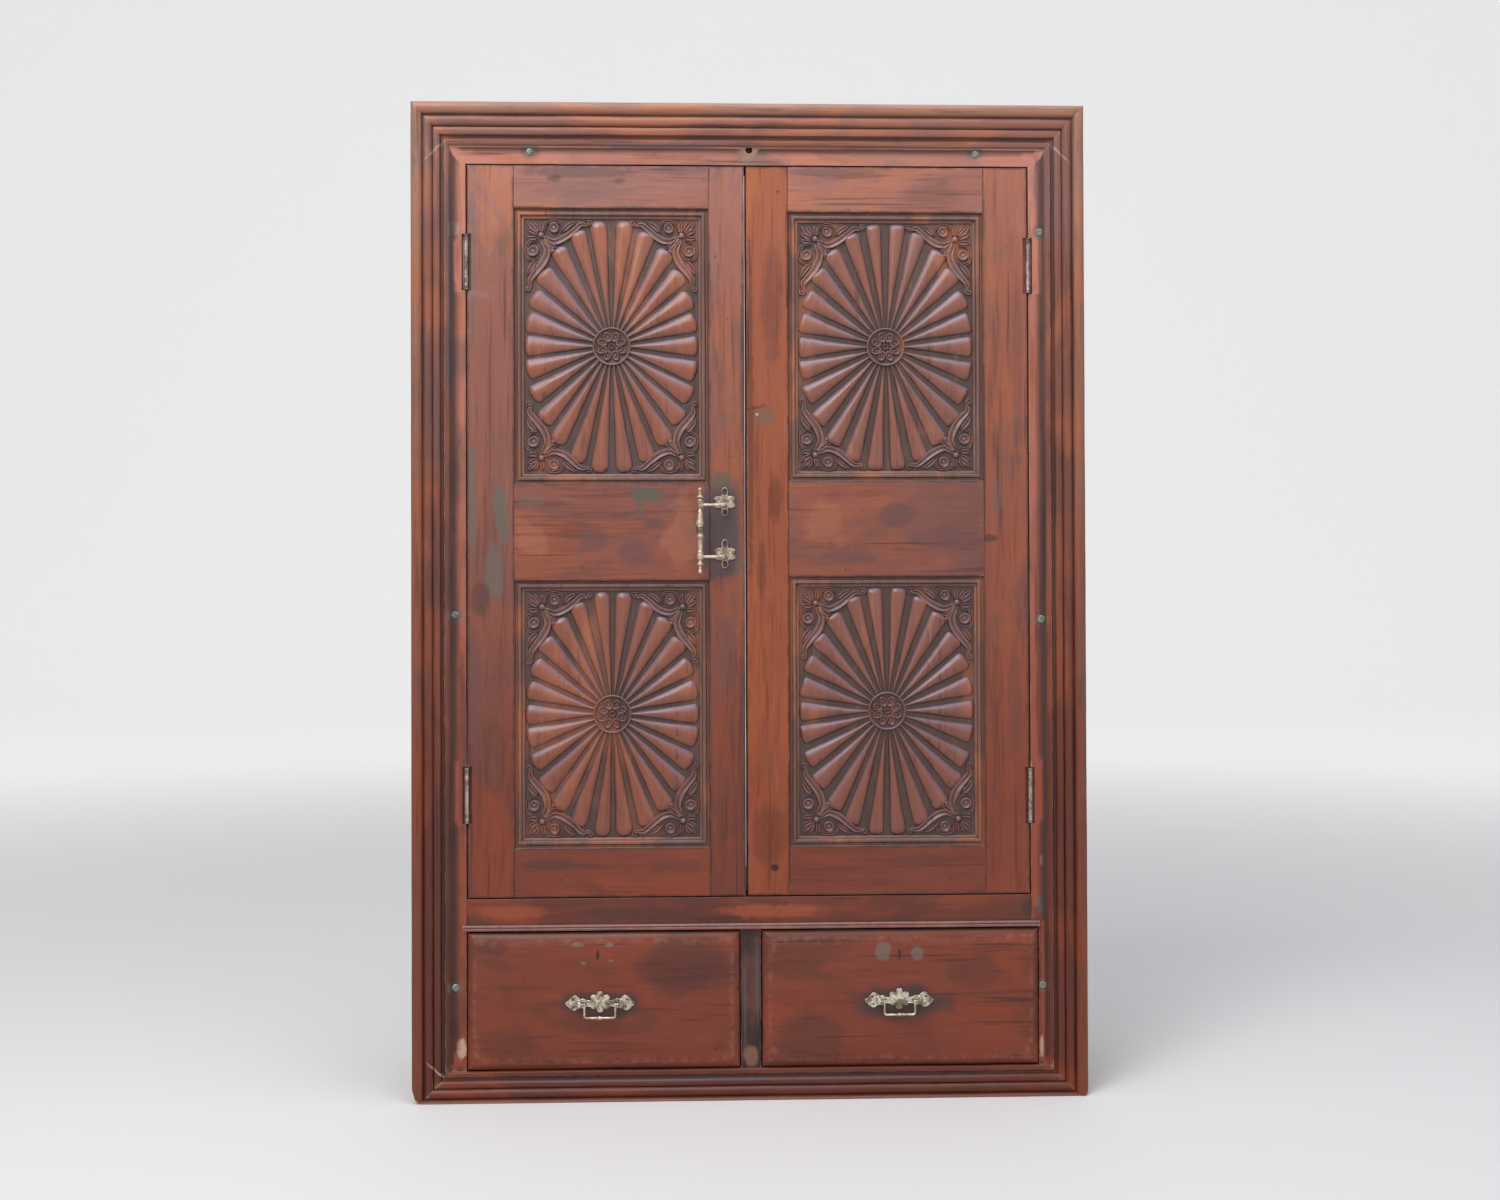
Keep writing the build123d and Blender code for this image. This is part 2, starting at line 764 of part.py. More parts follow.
def pull_bar():
    """Turned bar with ball ends, collars and a vase above a ringed grip."""
    low = pull_bar_bottom
    high = pull_bar_top
    eye_half = pull_eye_height / 2
    grip_low = pull_arm_low + eye_half
    profile = [(radius, low + rise) for radius, rise in pull_bar_foot]
    profile.append((pull_neck, grip_low))
    profile += [(radius, grip_low + rise) for radius, rise in pull_bar_grip]
    profile.append((pull_neck, pull_arm_high - eye_half))
    profile.append((pull_neck, pull_arm_high + eye_half))
    profile += [(radius, high - drop) for radius, drop in pull_bar_cap]
    return Pos(pull_bar_x, -pull_bar_stand, 0) * turned(profile, pull_sides)


def drawer_extent(side):
    """Left and right edges of a drawer front and of the drawer box behind it."""
    if side == "left":
        return opening_left + drawer_gap, muntin_left - drawer_gap
    return muntin_right + drawer_gap, drawer_opening_right - drawer_gap


def drawer_front(side):
    """Front board with a raised field and bevels all round."""
    x0, x1 = drawer_extent(side)
    z0 = sill_top + drawer_foot_gap
    z1 = rail_bottom - drawer_head_gap
    board = box(x0, x1, 0, drawer_front_thickness, z0, z1)
    rings = []
    for inset, y in ((0, 0), (drawer_bevel, -drawer_face_raise)):
        left = x0 + inset
        right = x1 - inset
        low = z0 + inset
        high = z1 - inset
        rings.append([(left, y, low), (right, y, low), (right, y, high), (left, y, high)])
    raised = faceted(rings)
    box_low = sill_top + runner_gap + drawer_bottom_rise
    s0, s1 = drawer_sides(side)
    groove = box(
        s0 + drawer_side_thickness - drawer_groove,
        s1 - drawer_side_thickness + drawer_groove,
        drawer_front_thickness - drawer_groove,
        drawer_front_thickness,
        box_low,
        box_low + drawer_bottom_thickness,
    )
    return board + raised - groove


def drawer_sides(side):
    """Outer faces of the drawer's two sides."""
    x0, x1 = drawer_extent(side)
    return x0 + drawer_side_play - drawer_gap, x1 - drawer_side_play + drawer_gap


def drawer(side):
    """Front, sides, back and grooved-in bottom of one drawer."""
    s0, s1 = drawer_sides(side)
    z0 = sill_top + runner_gap
    z1 = z0 + drawer_side_height
    y0 = drawer_front_thickness
    y1 = drawer_length
    bottom_low = z0 + drawer_bottom_rise
    bottom_high = bottom_low + drawer_bottom_thickness
    left_side = box(s0, s0 + drawer_side_thickness, y0, y1, z0, z1)
    right_side = box(s1 - drawer_side_thickness, s1, y0, y1, z0, z1)
    inner_left = s0 + drawer_side_thickness
    inner_right = s1 - drawer_side_thickness
    groove_left = inner_left - drawer_groove
    groove_right = inner_right + drawer_groove
    channel = box(groove_left, groove_right, y0, y1, bottom_low, bottom_high)
    back = box(inner_left, inner_right, y1 - drawer_back_thickness, y1, bottom_high, z1)
    bottom = box(groove_left, groove_right, y0 - drawer_groove, y1, bottom_low, bottom_high)
    pieces = {
        "front": drawer_front(side),
        "left_side": left_side - channel,
        "right_side": right_side - channel,
        "back": back,
        "bottom": bottom,
    }
    return {side + "_drawer_" + name: solid for name, solid in pieces.items()}


def scrolled_strip():
    """Outline of the drawer plate behind its flower: a narrow waist that widens to a scroll each end."""
    h = back_plate_height / 2
    w = back_plate_width / 2
    upper = [(w - inset, h * share) for inset, share in plate_upper_edge]
    lower = [(w - inset, -h * share) for inset, share in plate_lower_edge]
    points = upper + [(-x, z) for x, z in reversed(upper)]
    points += [(-x, z) for x, z in reversed(lower)] + lower
    return outline(points)


def drawer_plate(x_mid):
    """Back plate with a lobed flower, scrolled ends and two posts bored for the bail."""
    face = -drawer_face_raise
    shape = scrolled_strip()
    rise = plate_flower_rise
    shape += Pos(0, rise) * RegularPolygon(plate_flower_reach, plate_flower_lobes)
    for index in range(plate_flower_lobes):
        way = 2 * pi * (index + 0.5) / plate_flower_lobes
        x = plate_flower_reach * cos(way)
        z = rise + plate_flower_reach * sin(way)
        shape += Pos(x, z) * RegularPolygon(plate_flower_lobe, plate_lobe_sides)
    plate = slab(Pos(x_mid, drawer_pull_height) * shape, face - back_plate_thickness, face)
    z = drawer_pull_height
    pin_y = face - bail_stand
    for turn in (-1, 1):
        x = x_mid + turn * post_spacing / 2
        section = Pos(x, z) * RegularPolygon(post_radius, post_sides)
        plate += slab(section, face - post_length, face - back_plate_thickness / 2)
        start = (x_mid + turn * bail_width / 2, pin_y, z)
        end = (x + turn * bail_pin_depth, pin_y, z)
        plate -= rod(start, end, bail_pin_radius + bail_pin_play)
    return plate


def prism(start, end, radius, sides):
    """Bar of regular section between two points."""
    run = Vector(*end) - Vector(*start)
    return extrude(Plane(origin=start, z_dir=run) * RegularPolygon(radius, sides), amount=run.length)


def bail(x_mid):
    """Drop handle: two pins in the posts, two arms and a bar with a bead at its middle."""
    y = -drawer_face_raise - bail_stand
    z = drawer_pull_height
    half = bail_width / 2
    low = z - bail_drop
    hoop = prism((x_mid - half, y, low), (x_mid + half, y, low), bail_wire, bail_sides)
    for turn in (-1, 1):
        x = x_mid + turn * half
        pin_end = x_mid + turn * (post_spacing / 2 + bail_pin_depth - bail_end_gap)
        hoop += prism((x, y, low - bail_wire), (x, y, z + bail_wire), bail_wire, bail_sides)
        hoop += prism((x, y, z), (pin_end, y, z), bail_pin_radius, bail_pin_sides)
    bead_end = x_mid + bail_bead_half
    bead_start = x_mid - bail_bead_half
    return hoop + prism((bead_start, y, low), (bead_end, y, low), bail_wire + bail_bead_swell, bail_sides)


def case_boards():
    """Boards that the drawers run in, fixed to the back of the lower frame."""
    y0 = member_depth
    y1 = y0 + case_depth
    left_in = opening_left
    right_in = drawer_opening_right
    deck_low = rail_top - case_board
    return {
        "case_left_side": box(left_in - case_board, left_in, y0, y1, 0, deck_low),
        "case_right_side": box(right_in, right_in + case_board, y0, y1, 0, deck_low),
        "case_partition": box(muntin_left, muntin_right, y0, y1, sill_top, deck_low),
        "case_bottom": box(left_in, right_in, y0, y1, sill_top - case_board, sill_top),
        "case_deck": box(left_in - case_board, right_in + case_board, y0, y1, deck_low, rail_top),
        "case_back": box(
            left_in - case_board, right_in + case_board, y1, y1 + case_back_thickness,
            sill_top - case_board, rail_top,
        ),
    }


def frame_screws():
    """Low domed screw heads on the flat bands of the frame."""
    heads = Part()
    profile = [(screw_head_radius, 0), (screw_head_radius - screw_head_taper, screw_head_height)]
    left = opening_left - left_screw_inset
    right = opening_right + right_screw_inset
    places = [(x, opening_top + head_screw_rise) for x in head_screws]
    places += [(left, z) for z in left_screw_heights]
    places += [(right, z) for z in right_screw_heights]
    places.append((right, opening_top - top_screw_drop))
    for x, z in places:
        heads += Pos(x, 0, z) * Rot(90, 0, 0) * turned(profile, screw_head_sides)
    return heads


def build():
    """Every node of the model by name."""
    pieces = {
        "left_jamb": jamb("left"),
        "right_jamb": jamb("right"),
        "head": head(),
        "sill": sill(),
        "mid_rail": mid_rail(),
        "rail_bead": rail_bead(),
        "muntin": muntin(),
    }
    pieces.update(case_boards())
    pieces["frame_screws"] = frame_screws()
    pieces.update(door("left"))
    pieces.update(door("right"))
    pieces.update(hinges())
    pieces["door_pull_upper_arm"] = pull_arm(pull_plate_high, pull_arm_high)
    pieces["door_pull_lower_arm"] = pull_arm(pull_plate_low, pull_arm_low)
    pieces["door_pull_bar"] = pull_bar()
    for side, x_mid in (("left", drawer_pull_left), ("right", drawer_pull_right)):
        pieces.update(drawer(side))
        pieces[side + "_drawer_plate"] = drawer_plate(x_mid)
        pieces[side + "_drawer_bail"] = bail(x_mid)
    return pieces


os.makedirs("parts", exist_ok=True)
for node, solid in build().items():
    export_step(solid, os.path.join("parts", node + ".step"))
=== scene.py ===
import math

import bmesh
import bpy
from mathutils import Matrix, Vector, noise


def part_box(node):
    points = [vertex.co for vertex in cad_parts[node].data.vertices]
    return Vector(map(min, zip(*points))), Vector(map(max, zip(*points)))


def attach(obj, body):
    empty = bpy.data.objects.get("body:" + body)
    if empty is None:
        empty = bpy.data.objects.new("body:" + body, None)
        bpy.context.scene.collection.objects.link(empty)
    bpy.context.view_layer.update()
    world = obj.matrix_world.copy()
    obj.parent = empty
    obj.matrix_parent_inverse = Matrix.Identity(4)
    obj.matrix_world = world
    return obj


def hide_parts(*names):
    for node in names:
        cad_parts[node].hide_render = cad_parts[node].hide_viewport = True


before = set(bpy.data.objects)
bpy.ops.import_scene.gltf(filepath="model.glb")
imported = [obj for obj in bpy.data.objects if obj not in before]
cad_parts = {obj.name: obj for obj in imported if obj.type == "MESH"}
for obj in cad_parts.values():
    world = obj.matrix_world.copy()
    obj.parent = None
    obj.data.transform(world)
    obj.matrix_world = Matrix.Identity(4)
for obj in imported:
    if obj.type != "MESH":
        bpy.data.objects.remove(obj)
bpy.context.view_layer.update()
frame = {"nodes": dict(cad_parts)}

bl_info = {
    "name": "Carved Cupboard Front",
    "version": (1, 0, 0),
    "blender": (4, 5, 0),
    "location": "View3D > Sidebar > Cupboard",
    "description": "Dresses a wall cupboard front with carved doors, worn wood and old fittings",
    "category": "Object",
}

NODES = frame["nodes"]

# Camera of the photograph, in metres and radians
CAMERA_AT = (-0.0995, -2.9052, 0.8502)
CAMERA_YAW = 0.03396
CAMERA_PITCH = 0.00964
CAMERA_ROLL = -0.00332
LENS_PER_WIDTH = 1640.0 / 1500.0
SENSOR_MM = 36.0


# Colours and small values

def colour(red, green, blue):
    """Linear colour with full cover, from display values of 0 to 255."""
    channels = []
    for value in (red, green, blue):
        share = value / 255
        channels.append(share / 12.92 if share <= 0.04045 else ((share + 0.055) / 1.055) ** 2.4)
    return (*channels, 1.0)


def hue_property(name, description, rgb):
    return bpy.props.FloatVectorProperty(
        name=name, description=description, subtype="COLOR", size=4, min=0, max=1, default=colour(*rgb)
    )


def length_property(name, description, value):
    return bpy.props.FloatProperty(name=name, description=description, default=value, subtype="DISTANCE", unit="LENGTH")


class DoorColours(bpy.types.PropertyGroup):
    """Finishes of the cupboard front."""
    # Tone of the upper boards, pale with painted sheen; the ramp over height darkens it lower down
    door: hue_property("Doors", "Hazed wax of the upper boards", (158, 104, 92))
    warm: hue_property("Warm patches", "Rubbed, orange places", (184, 112, 76))
    cool: hue_property("Cool patches", "Bloomed, violet-grey places", (112, 86, 84))
    pale: hue_property("Pale fibre", "Scuffs, nicks and worn edges", (200, 160, 144))
    dark: hue_property("Dark fibre", "Dark grain and dents", (66, 42, 38))
    film: hue_property("Grey film", "Grey-green smears of old wax", (104, 100, 88))
    # Dust on faces that look up, with the painted sheen of the sky on them
    dust_and_sheen: hue_property("Dust", "Dust on faces that look up", (142, 132, 138))
    # Dark colour of dirt in grooves and joints, also used as painted shade in creases, carved recesses and on faces
    # that look down
    grime_and_shade: hue_property("Grime", "Dirt in grooves and joints", (34, 24, 22))
    frame: hue_property("Frame", "Middle mouldings of the outer frame", (132, 84, 72))
    bead: hue_property("Outer bead", "Tan bead round the frame", (158, 112, 90))
    band: hue_property("Flat band", "Flat inner band of the frame", (198, 130, 113))
    meeting: hue_property("Meeting stile", "Orange stile of the right door", (166, 100, 76))
    carved: hue_property("Petals", "Crowns of the carved petals", (150, 88, 66))
    ground: hue_property("Ground", "Carved leaves and the ground behind them", (134, 98, 86))
    muntin: hue_property("Muntin", "Dark post between the drawers", (56, 44, 42))
    inner: hue_property("Inner boards", "Unpolished boards of the drawers and their case", (146, 108, 76))
    brass: hue_property("Brass", "Old pale brass of the pulls", (164, 144, 124))
    iron: hue_property("Iron", "Hinges", (112, 102, 98))


def ramp(tree, value, stops):
    """Colour along a value of 0 to 1 through (place, colour) stops."""
    made = add(tree, "ShaderNodeValToRGB", {0: value})
    band = made.color_ramp
    band.elements[0].position, band.elements[0].color = stops[0]
    band.elements[1].position, band.elements[1].color = stops[-1]
    for place, tone in stops[1:-1]:
        band.elements.new(place).color = tone
    return made.outputs[0]


class CarvingSizes(bpy.types.PropertyGroup):
    """Sizes of the carving."""
    petals: bpy.props.IntProperty(name="Petals", description="Rays of each sunburst", default=26, min=6, max=60)
    squeeze: bpy.props.FloatProperty(
        name="Squeeze", description="Turn of the rays toward the upright", default=math.radians(5.3), subtype="ANGLE"
    )
    crown: length_property("Crown", "Height of the rays over the ground", 0.0068)
    moulding: length_property("Moulding", "Width of the ring round each panel", 0.0175)
    tongue: length_property("Tongue", "Part of a panel held in its groove", 0.008)
    ground: length_property("Ground", "Depth of the carved ground behind the door face", 0.011)
    root: length_property("Root", "Radius at which the rays start", 0.0325)
    ring: length_property("Ring", "Radius of the rosette", 0.034)


# Meshes

def put(name, mesh, material, body, nodes=()):
    """Link a finished mesh as a piece that rides a body and may stand for CAD nodes."""
    piece = bpy.data.objects.new(name, mesh)
    bpy.context.scene.collection.objects.link(piece)
    mesh.materials.clear()
    mesh.materials.append(material)
    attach(piece, body)
    if nodes:
        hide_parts(*nodes)
    return piece


def smooth(mesh, angle=math.radians(38)):
    """Smooth shading with sharp edges kept."""
    mesh.polygons.foreach_set("use_smooth", [True] * len(mesh.polygons))
    mesh.set_sharp_from_angle(angle=angle)


def mesh_of(name, points, faces, merge=1e-6):
    """Mesh from points and faces with its doubles merged and its faces turned outwards."""
    mesh = bpy.data.meshes.new(name)
    mesh.from_pydata(points, [], faces)
    work = bmesh.new()
    work.from_mesh(mesh)
    bmesh.ops.remove_doubles(work, verts=work.verts, dist=merge)
    bmesh.ops.recalc_face_normals(work, faces=work.faces)
    work.to_mesh(mesh)
    work.free()
    return mesh


def joined(name, parts, angle=math.radians(38)):
    """One mesh from several (points, faces) shapes, each closed by itself."""
    points = []
    faces = []
    for some_points, some_faces in parts:
        base = len(points)
        points += some_points
        faces += [tuple(base + index for index in face) for face in some_faces]
    mesh = mesh_of(name, points, faces)
    smooth(mesh, angle)
    return mesh


def grid_faces(rows, columns, wrap=False):
    """Quads of a grid of points kept row by row."""
    faces = []
    last = columns if wrap else columns - 1
    for row in range(rows - 1):
        for column in range(last):
            after = (column + 1) % columns
            here = row * columns
            faces.append((here + column, here + after, here + columns + after, here + columns + column))
    return faces


def lathe(profile, sides, matrix):
    """Turned shape: (radius, height) pairs about Z, closed at both ends, then placed by a matrix."""
    points = []
    for radius, height in profile:
        for index in range(sides):
            way = 2 * math.pi * index / sides
            points.append(matrix @ Vector((radius * math.cos(way), radius * math.sin(way), height)))
    faces = grid_faces(len(profile), sides, wrap=True)
    faces.append(tuple(reversed(range(sides))))
    top = (len(profile) - 1) * sides
    faces.append(tuple(range(top, top + sides)))
    return points, faces


def tube(path, radii, sides=12, squash=1.0):
    """Round bar along a path of points, closed at both ends; radii is one value or one per point."""
    count = len(path)
    if not isinstance(radii, (list, tuple)):
        radii = [radii] * count
    points = []
    side = None
    for index, here in enumerate(path):
        before = path[max(index - 1, 0)]
        after = path[min(index + 1, count - 1)]
        along = (after - before).normalized()
        if side is None:
            side = along.orthogonal().normalized()
        side = (side - along * side.dot(along)).normalized()
        other = along.cross(side)
        for turn in range(sides):
            way = 2 * math.pi * turn / sides
            out = side * math.cos(way) + other * math.sin(way) * squash
            points.append(here + out * radii[index])
    faces = grid_faces(count, sides, wrap=True)
    faces.append(tuple(reversed(range(sides))))
    faces.append(tuple(range((count - 1) * sides, count * sides)))
    return points, faces


def rounded(points, radius, steps=6):
    """Path with its inner corners rounded."""
    path = [points[0]]
    for before, here, after in zip(points, points[1:], points[2:]):
        start = here + (before - here).normalized() * radius
        end = here + (after - here).normalized() * radius
        for step in range(steps + 1):
            share = step / steps
            path.append(start * (1 - share) ** 2 + here * 2 * share * (1 - share) + end * share ** 2)
    path.append(points[-1])
    return path


def axis_matrix(at, direction):
    """Matrix that takes Z to a direction and the origin to a place."""
    turn = Vector((0, 0, 1)).rotation_difference(Vector(direction)).to_matrix().to_4x4()
    return Matrix.Translation(Vector(at)) @ turn


# Worn copies of the CAD boards

def cut_across(work, axis, places):
    """Cut every face of a mesh by planes square to an axis."""
    normal = [0, 0, 0]
    normal[axis] = 1
    for place in places:
        at = [0, 0, 0]
        at[axis] = place
        everything = work.verts[:] + work.edges[:] + work.faces[:]
        bmesh.ops.bisect_plane(work, geom=everything, dist=1e-6, plane_co=at, plane_no=normal)


def spread(low, high, step):
    """Evenly spaced places between two values, ends left out."""
    count = max(int((high - low) / step), 1)
    return [low + (high - low) * index / count for index in range(1, count)]


def worn_board(node, material, body, bevel=0.0011, step=0.03, wobble=0.0003, margin=0.006, seed=0.0):
    """Copy of a CAD board with rounded, slightly uneven edges and a wear attribute, in place of the node."""
    low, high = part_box(node)
    work = bmesh.new()
    work.from_mesh(NODES[node].data)
    bmesh.ops.remove_doubles(work, verts=work.verts, dist=2e-5)
    bmesh.ops.dissolve_limit(work, angle_limit=math.radians(1.5), verts=work.verts, edges=work.edges)
    sharp = [e for e in work.edges if len(e.link_faces) == 2 and e.calc_face_angle(0) > math.radians(33)]
    bmesh.ops.bevel(
        work, geom=sharp, offset=bevel, offset_type="OFFSET", segments=2, profile=0.55,
        affect="EDGES", clamp_overlap=True,
    )
    size = high - low
    long_axis = max(range(3), key=lambda axis: size[axis])
    for axis in (0, 2):
        places = [low[axis] + margin, high[axis] - margin]
        if axis == long_axis:
            places += spread(low[axis], high[axis], step)
        elif size[axis] > 3 * step:
            places += spread(low[axis], high[axis], 1.5 * step)
        cut_across(work, axis, places)
    layer = work.verts.layers.float.new("wear")
    for vert in work.verts:
        total = sum(e.calc_face_angle_signed(0) for e in vert.link_edges if len(e.link_faces) == 2)
        vert[layer] = max(-1.0, min(1.0, total / 1.2))
    for vert in work.verts:
        place = vert.co * 9 + Vector((seed, seed * 1.7, -seed))
        shift = noise.noise_vector(place) * wobble + noise.noise_vector(vert.co * 60) * wobble * 0.5
        for axis in range(3):
            vert.co[axis] = min(max(vert.co[axis] + shift[axis], low[axis]), high[axis])
    mesh = bpy.data.meshes.new("worn_" + node)
    work.to_mesh(mesh)
    work.free()
    smooth(mesh, math.radians(42))
    return put("worn_" + node, mesh, material, body, [node])


# Shader nodes

def add(tree, kind, inputs=None, **settings):
    """Add a node, set its properties, and link or fill its inputs by name or number."""
    made = tree.nodes.new(kind)
    for name, value in settings.items():
        setattr(made, name, value)
    for key, value in (inputs or {}).items():
        if isinstance(value, bpy.types.NodeSocket):
            tree.links.new(value, made.inputs[key])
        else:
            made.inputs[key].default_value = value
    return made


def calc(tree, operation, *values, clamp=False):
    """One math node; its values are sockets or numbers."""
    made = add(tree, "ShaderNodeMath", dict(enumerate(values)), operation=operation)
    made.use_clamp = clamp
    return made.outputs[0]


def blend(tree, share, first, second, mode="MIX"):
    """Mix two colours."""
    made = add(tree, "ShaderNodeMix", {0: share, 6: first, 7: second}, data_type="RGBA", blend_type=mode)
    return made.outputs[2]


def steps(tree, value, low, high, smoothly=True, to=(0.0, 1.0)):
    """Map a range to 0..1, clamped."""
    kind = "SMOOTHSTEP" if smoothly else "LINEAR"
    made = add(tree, "ShaderNodeMapRange", {0: value, 1: low, 2: high, 3: to[0], 4: to[1]}, interpolation_type=kind)
    return made.outputs[0]


def cloud(tree, vector, scale, detail=3.0, rough=0.55, distortion=0.0):
    """Noise value of about 0.2 to 0.8."""
    made = add(
        tree, "ShaderNodeTexNoise",
        {"Vector": vector, "Scale": scale, "Detail": detail, "Roughness": rough, "Distortion": distortion},
    )
    return made.outputs[0]


def stretched(tree, vector, scale, shift=(0.0, 0.0, 0.0)):
    """Coordinates scaled and moved."""
    made = add(tree, "ShaderNodeMapping", {"Vector": vector, "Location": shift, "Scale": scale})
    return made.outputs[0]


def split(tree, vector):
    """X, Y and Z of a vector."""
    made = add(tree, "ShaderNodeSeparateXYZ", {0: vector})
    return made.outputs[0], made.outputs[1], made.outputs[2]


def new_material(name):
    """Material with an empty Principled shader; returns material, tree, shader and Object coordinates."""
    made = bpy.data.materials.new(name)
    made.use_nodes = True
    tree = made.node_tree
    shader = tree.nodes["Principled BSDF"]
    place = add(tree, "ShaderNodeTexCoord").outputs["Object"]
    return made, tree, shader, place


def mark(tree, place, x, z, half_x, half_z, turn=0.0, power=2.0, ragged=0.35):
    """Ragged patch on the front, in metres: 1 inside, 0 outside; a high power makes it squarer."""
    across, depth, up = split(tree, place)
    dx = calc(tree, "SUBTRACT", across, x)
    dz = calc(tree, "SUBTRACT", up, z)
    if turn:
        c, s = math.cos(turn), math.sin(turn)
        dx, dz = (
            calc(tree, "ADD", calc(tree, "MULTIPLY", dx, c), calc(tree, "MULTIPLY", dz, s)),
            calc(tree, "SUBTRACT", calc(tree, "MULTIPLY", dz, c), calc(tree, "MULTIPLY", dx, s)),
        )
    rx = calc(tree, "POWER", calc(tree, "MULTIPLY", calc(tree, "ABSOLUTE", dx), 1 / half_x), power)
    rz = calc(tree, "POWER", calc(tree, "MULTIPLY", calc(tree, "ABSOLUTE", dz), 1 / half_z), power)
    reach = calc(tree, "POWER", calc(tree, "ADD", rx, rz), 1 / power)
    rough = cloud(tree, place, 0.45 / min(half_x, half_z), 4, 0.6)
    reach = calc(tree, "ADD", reach, calc(tree, "MULTIPLY", calc(tree, "SUBTRACT", rough, 0.5), ragged * 4))
    return calc(tree, "MULTIPLY", steps(tree, reach, 1.3, 0.7), steps(tree, depth, 0.014, 0.008))


# Painted sheen by height, from the floor up: deep and red below, pale above where the reflection of the sky on the wax
# is painted in
PAINTED_SHEEN_HEIGHT = 1.756


PAINTED_SHEEN_RAMP = (
    (0.0, (0.50, 0.25, 0.16, 1)), (0.30, (0.50, 0.27, 0.19, 1)), (0.55, (0.64, 0.50, 0.47, 1)),
    (0.80, (0.80, 0.71, 0.66, 1)), (0.95, (1, 1, 1, 1)),
)


def edge_distance(tree, place, low, high):
    """Distance in metres from the edges of a board, seen from the front."""
    across, _, up = split(tree, place)
    near_x = calc(tree, "MINIMUM", calc(tree, "SUBTRACT", across, low[0]), calc(tree, "SUBTRACT", high[0], across))
    near_z = calc(tree, "MINIMUM", calc(tree, "SUBTRACT", up, low[2]), calc(tree, "SUBTRACT", high[2], up))
    return calc(tree, "MINIMUM", near_x, near_z)


